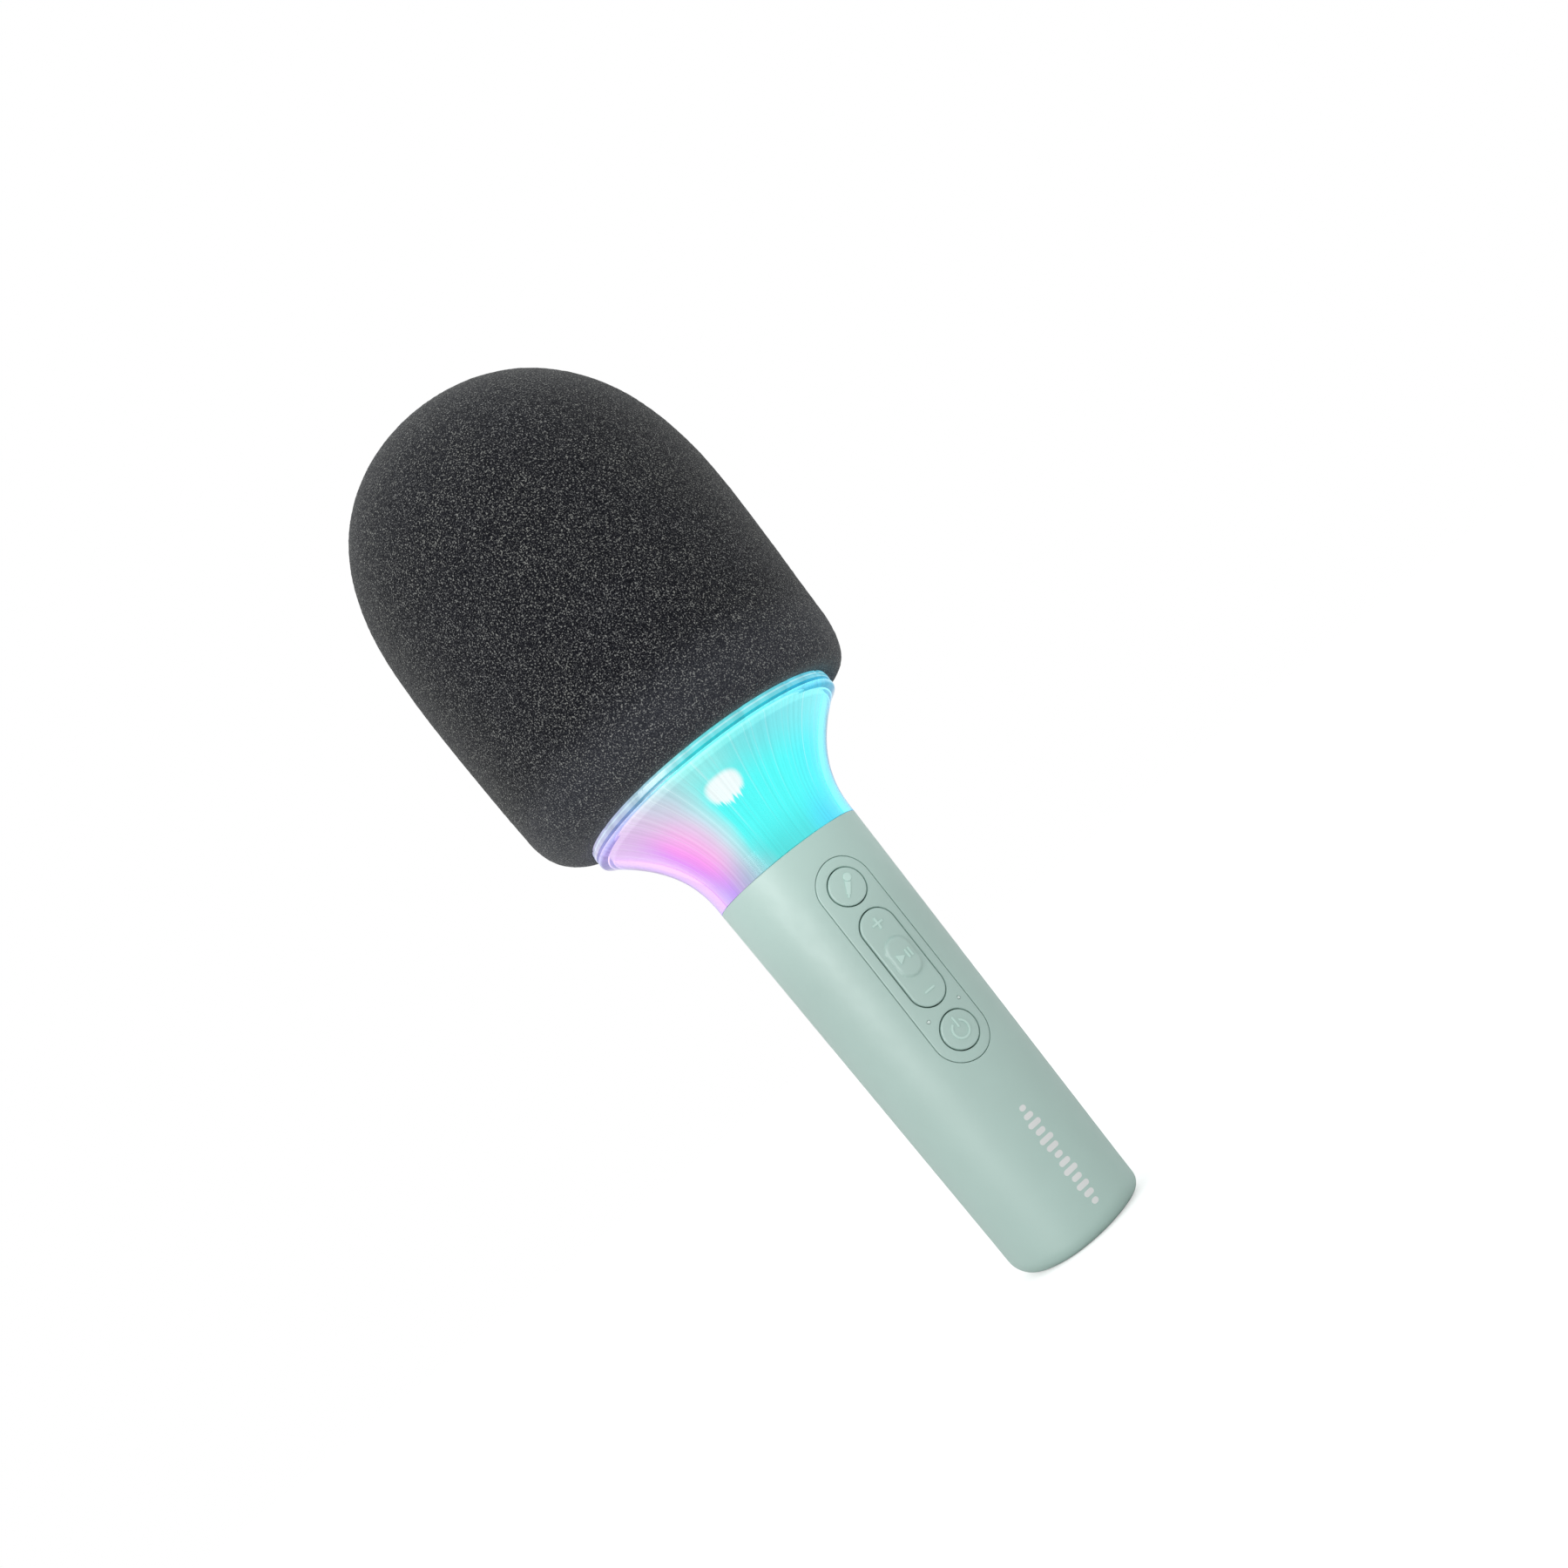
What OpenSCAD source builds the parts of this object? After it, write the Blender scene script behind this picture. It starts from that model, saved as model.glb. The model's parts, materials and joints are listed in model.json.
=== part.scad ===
// Karaoke toy microphone: foam windscreen over a grille cage with a loudspeaker and a
// microphone capsule, a lit flared ring, and a tapered handle with keys, board and battery.
// It stands on its flat foot. +Z runs up the axis and the keys face -Y. Millimetres.

/* [Handle] */
// Height of the handle up to the lit ring
handle_h = 103.2; // [100:0.2:110]
// Outer radius at the foot
foot_r = 16.6; // [16.2:0.1:17.5]
// Outer radius under the lit ring
neck_r = 19.25; // [19:0.05:20]
// Wall thickness of the handle tube
handle_wall = 2.4; // [2:0.1:2.6]
// Radius of the rounded edge round the foot
foot_edge_r = 3; // [1:0.5:3]

/* [Lit ring] */
// Height of the rim's top edge
rim_top_z = 132.1; // [131:0.1:134]
// Outer radius of the rim
rim_r = 33.6; // [33.4:0.1:35]
// How sharply the flare opens, as an exponent
flare_power = 2.36; // [2:0.02:3]
// Wall thickness of the clear flare
lens_wall = 2; // [1.6:0.1:2.4]
// Number of small notches round the rim
notch_count = 15; // [3:1:24]

/* [Windscreen] */
// Height of the foam's top
foam_top_z = 239; // [238:0.5:244]
// Largest radius of the foam
foam_r = 44.6; // [43:0.1:48]
// Height of the largest radius
foam_wide_z = 180.3; // [175:0.5:185]
// Radius above the rounded lower edge
foam_low_r = 43; // [41:0.1:44.6]
// Height of the rounded lower edge
foam_edge_h = 11.6; // [8:0.2:14]

/* [Head] */
// Outer radius of the grille cage
cage_r = 33; // [32.6:0.1:33.2]
// Top of the grille cage
cage_top_z = 228.4; // [224:0.2:229]
// Wall thickness of the grille cage
cage_wall = 1.6; // [1.2:0.1:2]
// Slots round the cage's side
slot_count = 20; // [12:2:24]

/* [Keys] */
// Height of the voice key above the foot
voice_z = 89.5; // [88.5:0.1:90]
// Height of the rocker's middle
rocker_z = 70.4; // [70:0.1:71]
// Height of the power key
power_z = 51; // [50:0.1:52]
// Width of the inlaid key panel
panel_w = 13.84; // [13.4:0.02:14.4]
// Length of the inlaid key panel
panel_l = 52.7; // [52:0.1:54]
// Radius of the round key holes
key_hole_r = 4.65; // [4.6:0.01:4.8]
// Length of the rocker's hole
rocker_l = 25.3; // [24.8:0.1:25.6]
// Gap round every key
key_gap = 0.35; // [0.3:0.01:0.4]
// How far the keys stand proud of the handle
key_proud = 0.3; // [0.1:0.05:0.5]

/* [Electronics] */
// Radius of the lithium cell
cell_r = 9.1; // [8.5:0.1:9.2]
// Length of the lithium cell
cell_l = 65; // [60:0.5:66]
// Number of lights on the ring board
ring_light_count = 12; // [6:1:16]

/* [Hidden] */

$fn = 96;
eps = 0.05;
taper = (neck_r - foot_r) / handle_h;
panel_z = (voice_z + power_z) / 2;
panel_gap = 0.12;
panel_back_y = -15;
flange_r = 5.4;
board_front_y = -9;
board_t = 1;
board_bottom_z = 22;
board_top_z = 98;
board_w = 18;
plunger_top_y = -11.3;
stem_end_y = -12.2;
stem_r = 1.4;
step_z = 8.9;                              // from the rocker's middle to its + and - marks
pivot_y = -14;
cell_y = 4.4;
cell_z = 12.5;
cradle_r = cell_r + 0.2;
chassis_plate_y = -6.6;
lens_z = handle_h;
groove_h = 0.6;
rim_h = 1.9;
rim_z = rim_top_z - rim_h;
lip_z = rim_z - groove_h;                  // top of the lens, under the groove
lip_h = 1.1;
base_z = lip_z - 0.1;
base_t = 2;
bracket_z = base_z + base_t;
bracket_top_z = bracket_z + 20;
magnet_z = bracket_z + 2.5;
coil_r = 6.8;
screw_circle_r = 28.3;
cage_z = rim_top_z;
cage_side_top_z = 184;
cage_steps = 24;
foam_gap = 0.3;
foam_z = rim_top_z + 0.05;
boot_z = cage_top_z - 15;
capsule_r = 4.85;
wire_r = 0.5;

function handle_r(z) = foot_r + taper * z;
function lens_r(z) = neck_r + (rim_r - neck_r) * pow((z - lens_z) / (lip_z - lip_h - lens_z), flare_power);

// A solid taper that follows the handle, drawn in or pushed out by "grow".
module handle_body(grow, z0, z1) {
    translate([0, 0, z0])
        cylinder(h = z1 - z0, r1 = handle_r(z0) + grow, r2 = handle_r(z1) + grow, $fn = 128);
}

// A slab with half-round ends, long in Z, that runs from y0 back to y1.
module stadium_prism(width, length, z, y0, y1) {
    translate([0, y1, z])
        rotate([90, 0, 0])
            linear_extrude(y1 - y0) {
                square([width, length - width], center = true);
                for (s = [-1, 1])
                    translate([0, s * (length - width) / 2])
                        circle(d = width, $fn = 64);
            }
}

// A round bar along Y.
module bar_y(r, x, z, y0, y1) {
    translate([x, y1, z])
        rotate([90, 0, 0])
            cylinder(h = y1 - y0, r = r, $fn = 48);
}

// A round bar along Z.
module bar_z(r, x, y, z0, z1) {
    translate([x, y, z0])
        cylinder(h = z1 - z0, r = r, $fn = 48);
}

// A washer round the Z axis.
module ring_z(r_in, r_out, z0, z1) {
    translate([0, 0, z0])
        difference() {
            cylinder(h = z1 - z0, r = r_out);
            translate([0, 0, -1])
                cylinder(h = z1 - z0 + 2, r = r_in);
        }
}

// A block given by its lowest and highest corners.
module block(low, high) {
    translate(low)
        cube(high - low);
}

// A round wire through a list of points.
module wire(points, r) {
    for (i = [0 : len(points) - 2]) {
        run = points[i + 1] - points[i];
        length = norm(run);
        translate(points[i])
            rotate([0, acos(run[2] / length), atan2(run[1], run[0])])
                cylinder(h = length, r = r, $fn = 24);
        if (i > 0)
            translate(points[i])
                sphere(r = r * 1.12, $fn = 24);
    }
}

// A screw with a round head, its tip towards +Z and the head's underside at z = 0.
module screw(r, head_r, head_h, length) {
    difference() {
        union() {
            cylinder(h = length, r = r, $fn = 24);
            translate([0, 0, -head_h])
                cylinder(h = head_h, r = head_r, $fn = 32);
        }
        for (a = [0, 90])
            rotate([0, 0, a])
                block([-head_r * 0.6, -0.2, -head_h - 1], [head_r * 0.6, 0.2, -head_h * 0.45]);
    }
}

// ---------------------------------------------------------------- handle

module handle_shell() {
    bore_top_z = handle_h - 5;
    color("#bcd6ce")
        difference() {
            union() {
                rotate_extrude($fn = 128)
                    difference() {
                        union() {
                            polygon([[0, foot_edge_r], [handle_r(foot_edge_r), foot_edge_r],
                                [handle_r(handle_h), handle_h], [0, handle_h]]);
                            square([handle_r(foot_edge_r) - foot_edge_r, foot_edge_r + eps]);
                            intersection() {
                                translate([handle_r(foot_edge_r) - foot_edge_r, foot_edge_r])
                                    circle(r = foot_edge_r, $fn = 64);
                                square([foot_r * 2, foot_edge_r + eps]);
                            }
                        }
                        translate([-foot_r, -1])
                            square([foot_r, handle_h + 2]);
                    }
            }
            handle_body(-handle_wall, handle_wall, bore_top_z);
            translate([0, 0, bore_top_z - eps])
                cylinder(h = handle_h, r = handle_r(bore_top_z) - handle_wall);
            translate([0, 0, -1])
                cylinder(h = handle_wall + 2, r = 12.1);
            stadium_prism(panel_w, panel_l, panel_z, -30, -12);
        }
}

module end_cap() {
    color("#b2ccc4")
        difference() {
            union() {
                cylinder(h = handle_wall + 0.02, r = 12);
                translate([0, 0, handle_wall + 0.02])
                    cylinder(h = 1.6, r = 13.8);
            }
            stadium_xy(9.3, 3.6, -1, 6);
            for (s = [-1, 1])
                translate([s * 8.6, 0, -1]) {
                    cylinder(h = 2.2, r = 2.1, $fn = 32);
                    cylinder(h = 8, r = 1.05, $fn = 32);
                }
        }
}

// A slot shape that lies flat, long in X.
module stadium_xy(length, width, z0, z1) {
    translate([0, 0, z0])
        linear_extrude(z1 - z0) {
            square([length - width, width], center = true);
            for (s = [-1, 1])
                translate([s * (length - width) / 2, 0])
                    circle(d = width, $fn = 48);
        }
}

module end_cap_screws() {
    color("#8d9296")
        for (s = [-1, 1])
            translate([s * 8.6, 0, 1.2])
                screw(0.9, 1.8, 1, 8);
}

module usb_shell() {
    color("#c9ccd0")
        difference() {
            stadium_xy(8.94, 3.26, 0.3, 7.6);
            stadium_xy(8.34, 2.66, 0, 6.8);
        }
}

module usb_tongue() {
    color("#26282b")
        block([-3.4, -0.35, 1.4], [3.4, 0.35, 6.8]);
}

module charge_board() {
    color("#2f7d54")
        difference() {
            bar_z(12.6, 0, 0, 7.6, 8.6);
            for (s = [-1, 1])
                bar_z(1.9, s * 8.6, 0, 7, 9);
        }
}

module chassis() {
    cell_top_z = cell_z + cell_l;
    color("#e4e6e3")
        difference() {
            union() {
                // cradle round the front of the cell, and the plate under the board
                intersection() {
                    bar_z(cradle_r + 1.3, 0, cell_y, 10.4, 96);
                    block([-14, -10, 10], [14, cell_y - 1, 96.5]);
                }
                block([-9, chassis_plate_y, 10.4], [9, chassis_plate_y + 1.4, 96]);
                // end plates that centre it in the tube, and two legs for the cap's screws
                intersection() {
                    bar_z(handle_r(9) - handle_wall - 0.15, 0, 0, 9, 11.4);
                    block([-20, chassis_plate_y, 0], [20, 20, 12]);
                }
                intersection() {
                    bar_z(handle_r(94) - handle_wall - 0.2, 0, 0, 94, 96);
                    block([-20, chassis_plate_y, 90], [20, 20, 97]);
                }
                for (s = [-1, 1])
                    bar_z(1.8, s * 8.6, 0, 4.1, 11);
                for (x = [-7, 7])
                    for (z = [26, 94])
                        bar_y(2, x, z, board_front_y + board_t, chassis_plate_y + eps);
            }
            bar_z(cradle_r, 0, cell_y, 11.4, 94);
            for (s = [-1, 1])
                bar_z(0.9, s * 8.6, 0, 3, 9.2);
            for (x = [-7, 7])
                for (z = [26, 94])
                    bar_y(0.8, x, z, board_front_y, chassis_plate_y + 1);
            bar_z(9.6, 0, 0, 93, 97);
            block([-2.6, -20, 9.8], [2.6, -5.8, 24]);
            block([-2.6, -20, cell_top_z + 3], [2.6, -3, 92]);
        }
}

module battery_cell() {
    color("#4f7fb0") {
        bar_z(cell_r, 0, cell_y, cell_z, cell_z + cell_l - 1.2);
        bar_z(4, 0, cell_y, cell_z + cell_l - 1.25, cell_z + cell_l);
    }
}

module battery_tabs() {
    color("#c9c6bb") {
        block([-3, cell_y - 6, cell_z - 0.3], [3, cell_y + 3, cell_z]);
        block([-3, cell_y - 6, cell_z + cell_l], [3, cell_y + 3, cell_z + cell_l + 0.3]);
    }
}

module battery_leads() {
    tab_y = cell_y - 5;
    color("#c23b35") {
        wire([[-1.2, tab_y, cell_z + cell_l + 0.8], [-1.2, tab_y, 84], [-1.2, -7.4, 88]], wire_r);
        wire([[1.2, tab_y, cell_z + cell_l + 0.8], [1.2, tab_y, 83], [1.2, -7.4, 87]], wire_r);
    }
}

module control_board() {
    color("#2f7d54")
        difference() {
            block([-board_w / 2, board_front_y, board_bottom_z],
                [board_w / 2, board_front_y + board_t, board_top_z]);
            for (x = [-7, 7])
                for (z = [26, 94])
                    bar_y(1, x, z, board_front_y - 1, board_front_y + board_t + 1);
        }
}

module board_chips() {
    color("#2b2d30") {
        block([-4.5, board_front_y - 1.1, 30], [4.5, board_front_y, 39]);
        block([-7.5, board_front_y - 0.8, 23.2], [-3, board_front_y, 24.2]);
        block([2.6, board_front_y - 1.4, 23], [5.2, board_front_y, 28]);
        block([-8, board_front_y - 1, 64], [-4.6, board_front_y, 67]);
        block([4.8, board_front_y - 1, 73], [8, board_front_y, 76]);
    }
}

module board_screws() {
    color("#8d9296")
        for (x = [-7, 7])
            for (z = [26, 94])
                translate([x, board_front_y, z])
                    rotate([-90, 0, 0])
                        screw(0.8, 1.6, 0.9, 3.2);
}

module key_switches() {
    heights = [voice_z, rocker_z + step_z, rocker_z, rocker_z - step_z, power_z];
    color("#3a3d40")
        for (z = heights) {
            block([-2.2, board_front_y - 1.5, z - 1.9], [2.2, board_front_y, z + 1.9]);
            bar_y(1, 0, z, plunger_top_y, board_front_y - 1.45);
        }
}

module status_lights() {
    color("#f3f1dc")
        for (s = [-1, 1])
            block([s * 4.5 - 0.5, board_front_y - 0.6, 55.8], [s * 4.5 + 0.5, board_front_y, 56.8]);
}

module light_pipes() {
    pipe_z = 56.3;
    color("#e8efe9")
        for (s = [-1, 1])
            intersection() {
                handle_body(0.02, 40, 70);
                bar_y(0.48, s * 4.5, pipe_z, -20, board_front_y - 1);
            }
}

// ---------------------------------------------------------------- keys

module key_panel() {
    half = panel_l / 2;
    color("#bfd8d0")
        difference() {
            union() {
                intersection() {
                    handle_body(0, 30, handle_h);
                    stadium_prism(panel_w - 2 * panel_gap, panel_l - 2 * panel_gap, panel_z,
                        -30, panel_back_y);
                }
                // tabs that hook behind the wall above and below the panel
                block([-2.8, -16, panel_z + half - 1.3], [2.8, -14, panel_z + half + 1.6]);
                block([-2.2, -15.1, panel_z - half + 0.4], [2.2, -13.6, panel_z - half + 1.4]);
                block([-2.2, -14.8, panel_z - half - 1.6], [2.2, -13.6, panel_z - half + 1]);
            }
            bar_y(key_hole_r, 0, voice_z, -30, 0);
            bar_y(key_hole_r, 0, power_z, -30, 0);
            stadium_prism(2 * key_hole_r, rocker_l, rocker_z, -30, 0);
            for (s = [-1, 1])
                bar_y(0.5, s * 4.5, 56.3, -30, 0);
        }
}

// A round key: its face follows the handle, and a flange behind the panel keeps it in.
module round_key(z) {
    intersection() {
        handle_body(key_proud, 30, handle_h);
        bar_y(key_hole_r - key_gap, 0, z, -30, panel_back_y + 0.2);
    }
    bar_y(flange_r, 0, z, panel_back_y + 0.1, panel_back_y + 0.8);
    bar_y(stem_r, 0, z, panel_back_y + 0.5, stem_end_y);
}

// A mark standing on a key's face: a flat shape carried through to the curved face.
module mark(z, height) {
    intersection() {
        handle_body(key_proud + height, 30, handle_h);
        translate([0, panel_back_y - 1, z])
            rotate([90, 0, 0])
                linear_extrude(12)
                    children();
    }
}

module ring_arc(r, width, gap_angle, turn) {
    rotate(turn)
        difference() {
            circle(r = r + width / 2, $fn = 48);
            circle(r = r - width / 2, $fn = 48);
            polygon([[0, 0], [3 * r * tan(gap_angle), 3 * r], [-3 * r * tan(gap_angle), 3 * r]]);
        }
}

module voice_key() {
    color("#bfd8d0") {
        round_key(voice_z);
        // a hand microphone, tilted to the right
        mark(voice_z, 0.12)
            rotate(-35) {
                translate([0, 2])
                    circle(r = 0.95, $fn = 32);
                polygon([[-0.65, 0.95], [0.65, 0.95], [0.3, -1.9], [-0.3, -1.9]]);
                translate([-0.16, -2.8])
                    square([0.32, 1]);
            }
    }
}

module power_key() {
    color("#bfd8d0") {
        round_key(power_z);
        mark(power_z, 0.12) {
            ring_arc(1.95, 0.45, 27, 0);
            translate([0, 1.8])
                square([0.45, 2.6], center = true);
        }
    }
}

module rocker_key() {
    hub_r = 1.2;
    half_step = (rocker_l - 2 * key_hole_r) / 2;
    color("#bfd8d0")
        difference() {
            union() {
                intersection() {
                    handle_body(key_proud, 30, handle_h);
                    stadium_prism(2 * (key_hole_r - key_gap), rocker_l - 2 * key_gap, rocker_z,
                        -30, panel_back_y - 0.3);
                }
                // raised oval in the middle, then the + and - marks and a play and pause mark
                intersection() {
                    handle_body(key_proud + 0.5, 30, handle_h);
                    stadium_prism(6.1, 9.3, rocker_z, -30, panel_back_y - 1);
                }
                mark(rocker_z + step_z, 0.12) {
                    square([2.8, 0.5], center = true);
                    square([0.5, 2.8], center = true);
                }
                mark(rocker_z - step_z, 0.12)
                    square([2.8, 0.5], center = true);
                mark(rocker_z, 0.62) {
                    polygon([[-1.7, 1.1], [-1.7, -1.1], [0.2, 0]]);
                    translate([0.85, 0])
                        square([0.45, 2], center = true);
                    translate([1.7, 0])
                        square([0.45, 2], center = true);
                }
                block([-2.3, panel_back_y - 0.5, rocker_z - 1], [2.3, pivot_y, rocker_z + 1]);
                translate([-2.3, pivot_y, rocker_z])
                    rotate([0, 90, 0])
                        cylinder(h = 4.6, r = hub_r, $fn = 48);
                for (s = [-1, 1])
                    bar_y(stem_r, 0, rocker_z + s * step_z, panel_back_y - 0.5, stem_end_y);
            }
            translate([-5, pivot_y, rocker_z])
                rotate([0, 90, 0])
                    cylinder(h = 10, r = 0.65, $fn = 32);
        }
}

module rocker_yoke() {
    color("#d9dcd8")
        difference() {
            union() {
                block([-3.7, -12.6, rocker_z - 1.6], [3.7, -11.9, rocker_z + 1.6]);
                for (s = [-1, 1])
                    block([s * 3.1 - 0.6, panel_back_y + 0.1, rocker_z - 1.6],
                        [s * 3.1 + 0.6, -12, rocker_z + 1.6]);
            }
            translate([-5, pivot_y, rocker_z])
                rotate([0, 90, 0])
                    cylinder(h = 10, r = 0.6, $fn = 32);
        }
}

module rocker_pin() {
    color("#9a9fa3")
        translate([-3.7, pivot_y, rocker_z])
            rotate([0, 90, 0])
                cylinder(h = 7.4, r = 0.6, $fn = 32);
}

// ---------------------------------------------------------------- lit ring

module neck_tube() {
    color("#e9ebe8")
        difference() {
            union() {
                bar_z(11.5, 0, 0, 98.4, base_z - 0.02);
                bar_z(16.4, 0, 0, 98.4, 99.8);
                bar_z(19, 0, 0, base_z - 2, base_z - 0.02);
            }
            bar_z(9.5, 0, 0, 90, base_z + 1);
        }
}

module ring_lens() {
    steps = 20;
    span = lip_z - lip_h - lens_z;
    heights = [for (i = [0 : steps]) lens_z + span * i / steps];
    outer = [for (z = heights) [lens_r(z), z]];
    inner = [for (i = [steps : -1 : 0]) [lens_r(heights[i]) - lens_wall, heights[i]]];
    color("#9fdcf0") {
        rotate_extrude($fn = 128)
            polygon(concat(outer, [[rim_r, lip_z], [rim_r - lens_wall, lip_z]], inner));
        // spigot that drops into the handle's mouth
        ring_z(15.3, 16.7, lens_z - 3.3, lens_z + eps);
        ring_z(16.6, 17.3, lens_z, lens_z + 0.6);
    }
}

module ring_diffuser() {
    steps = 12;
    z0 = lens_z + 1.5;
    z1 = lip_z - 1.2;
    heights = [for (i = [0 : steps]) z0 + (z1 - z0) * i / steps];
    outer = [for (z = heights) [lens_r(z) - lens_wall - 0.5, z]];
    inner = [for (i = [steps : -1 : 0]) [lens_r(heights[i]) - lens_wall - 1.5, heights[i]]];
    color("#f6f4fa")
        rotate_extrude()
            polygon(concat(outer, inner));
}

module ring_board() {
    color("#f2f3f1")
        ring_z(11.6, 15, lens_z + 0.8, lens_z + 1.8);
}

module ring_lights() {
    color("#fbf7d8")
        for (i = [0 : ring_light_count - 1])
            rotate([0, 0, 360 * i / ring_light_count])
                block([12.2, -0.8, lens_z + 1.8], [13.8, 0.8, lens_z + 2.6]);
}

module ring_rim() {
    color("#bfe6f2")
        difference() {
            union() {
                ring_z(31, rim_r, rim_z, rim_top_z);
                ring_z(31, rim_r - 0.7, lip_z, rim_z + eps);
            }
            for (i = [0 : notch_count - 1])
                rotate([0, 0, 360 * i / notch_count - 90])
                    block([rim_r - 0.4, -0.7, rim_top_z - 0.8], [rim_r + 1, 0.7, rim_top_z + 1]);
        }
}

// ---------------------------------------------------------------- head

module head_base() {
    color("#e9ebe8")
        difference() {
            ring_z(12.5, 30.95, base_z, base_z + base_t);
            for (a = [30 : 120 : 270])
                rotate([0, 0, a])
                    bar_z(1.05, 16.5, 0, base_z - 1, base_z + 5);
        }
}

module head_screws() {
    color("#8d9296")
        for (a = [30 : 120 : 270])
            rotate([0, 0, a])
                translate([16.5, 0, base_z + base_t])
                    mirror([0, 0, 1])
                        screw(1.05, 1.9, 1.2, 2);
}

module speaker_bracket() {
    color("#3c4044")
        difference() {
            union() {
                ring_z(27.6, 29.3, bracket_z, bracket_top_z);
                ring_z(24, 29.3, bracket_z, bracket_z + 1.4);
            }
            for (a = [0 : 60 : 120])
                rotate([0, 0, a])
                    block([-40, -5, bracket_z + 4], [40, 5, bracket_top_z - 5]);
            speaker_screw_holes();
        }
}

module speaker_frame() {
    z0 = magnet_z + 8;
    color("#4a4e52")
        difference() {
            rotate_extrude()
                polygon([[7.6, z0], [14, z0], [25.2, bracket_top_z - 1], [25.2, bracket_top_z],
                    [29.3, bracket_top_z], [29.3, bracket_top_z + 1.4], [24, bracket_top_z + 1.4],
                    [24, bracket_top_z], [13.4, z0 + 1], [7.6, z0 + 1]]);
            for (a = [0 : 60 : 300])
                rotate([0, 0, a + 30])
                    block([15.2, -4, z0 - 1], [23.4, 4, bracket_top_z - 1.2]);
            speaker_screw_holes();
        }
}

module speaker_surround() {
    roll_z = bracket_top_z + 1.4;
    color("#2a2c2e")
        rotate_extrude()
            intersection() {
                difference() {
                    translate([25.1, roll_z])
                        circle(r = 1.6, $fn = 32);
                    translate([25.1, roll_z])
                        circle(r = 1.1, $fn = 32);
                }
                translate([20, roll_z])
                    square([10, 5]);
            }
}

module speaker_cone() {
    cone_top_z = bracket_top_z + 1.2;
    color("#6c7075")
        rotate_extrude()
            polygon([[coil_r, magnet_z + 12], [coil_r, magnet_z + 12.7], [22.6, cone_top_z],
                [23.2, cone_top_z], [23.2, cone_top_z - 0.4], [22.7, cone_top_z - 0.6]]);
}

module dust_cap() {
    cap_r = coil_r + 0.6;
    z0 = magnet_z + 12.9;
    color("#35383b")
        intersection() {
            difference() {
                translate([0, 0, z0 - cap_r])
                    sphere(r = cap_r * 1.42);
                translate([0, 0, z0 - cap_r])
                    sphere(r = cap_r * 1.42 - 0.4);
            }
            bar_z(cap_r, 0, 0, z0 + 0.25, z0 + 8);
        }
}

module voice_coil() {
    color("#b5713c")
        ring_z(coil_r - 0.45, coil_r, magnet_z + 3.5, magnet_z + 12.6);
}

module speaker_yoke() {
    color("#a7abae") {
        bar_z(14, 0, 0, magnet_z, magnet_z + 1.5);
        bar_z(6, 0, 0, magnet_z + 1.4, magnet_z + 8);
    }
}

module speaker_magnet() {
    color("#2e3134")
        ring_z(8.5, 15, magnet_z + 1.5, magnet_z + 6.5);
}

module speaker_plate() {
    color("#a7abae")
        ring_z(7.15, 14, magnet_z + 6.5, magnet_z + 8);
}

// Holes for the three screws that hold the speaker's flange on its bracket.
module speaker_screw_holes() {
    for (a = [90 : 120 : 330])
        rotate([0, 0, a])
            bar_z(0.5, screw_circle_r, 0, bracket_top_z - 3, bracket_top_z + 2);
}

module speaker_screws() {
    color("#8d9296")
        for (a = [90 : 120 : 330])
            rotate([0, 0, a])
                translate([screw_circle_r, 0, bracket_top_z + 1.4])
                    mirror([0, 0, 1])
                        screw(0.5, 0.95, 0.7, 4.2);
}

module speaker_leads() {
    color("#c23b35")
        for (s = [-1, 1])
            wire([[s * 2, -7.2, board_top_z - 6], [s * 2, -7.2, board_top_z + 2],
                [s * 6, 4, 112], [s * 6, 4, bracket_z + 1.2], [s * 12, 15, bracket_z + 1.2],
                [s * 13.5, 15.5, magnet_z + 12.4]], wire_r);
}

// The cage's outline from the axis down to its foot, grown by "grow".
function cage_outline(grow) = concat(
    [for (i = [0 : cage_steps]) let (a = 90 * i / cage_steps)
        [(cage_r + grow) * sin(a),
            cage_side_top_z + (cage_top_z + grow - cage_side_top_z) * cos(a)]],
    [[cage_r + grow, cage_z]]);

module grille_cage() {
    outer = cage_outline(0);
    inner = cage_outline(-cage_wall);
    last = len(inner) - 1;
    color("#3a3d41") {
        difference() {
            rotate_extrude()
                polygon(concat(outer, [for (i = [last : -1 : 0]) inner[i]]));
            for (i = [0 : slot_count / 2 - 1])
                rotate([0, 0, 360 * i / slot_count])
                    for (z = [138, 154, 170])
                        block([-50, -2.6, z], [50, 2.6, z + 13]);
            for (i = [0 : slot_count / 4 - 1])
                rotate([0, 0, 720 * (i + 0.5) / slot_count])
                    block([-50, -2, 189], [50, 2, 205]);
        }
        // socket under the crown for the capsule's rubber boot
        difference() {
            bar_z(8.6, 0, 0, boot_z, cage_top_z - cage_wall - 0.4);
            bar_z(7, 0, 0, boot_z - 1, cage_top_z);
        }
    }
}

module mesh_liner() {
    outer = cage_outline(-cage_wall - 0.02);
    inner = cage_outline(-cage_wall - 0.45);
    last = len(inner) - 1;
    color("#7b8085")
        difference() {
            rotate_extrude()
                polygon(concat(outer, [for (i = [last : -1 : 0]) inner[i]]));
            bar_z(8.7, 0, 0, 200, 240);
        }
}

module capsule_boot() {
    color("#222426")
        difference() {
            bar_z(7, 0, 0, boot_z, boot_z + 8.9);
            bar_z(capsule_r, 0, 0, boot_z + 1.6, boot_z + 10);
            bar_z(3, 0, 0, boot_z - 1, boot_z + 3);
        }
}

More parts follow.
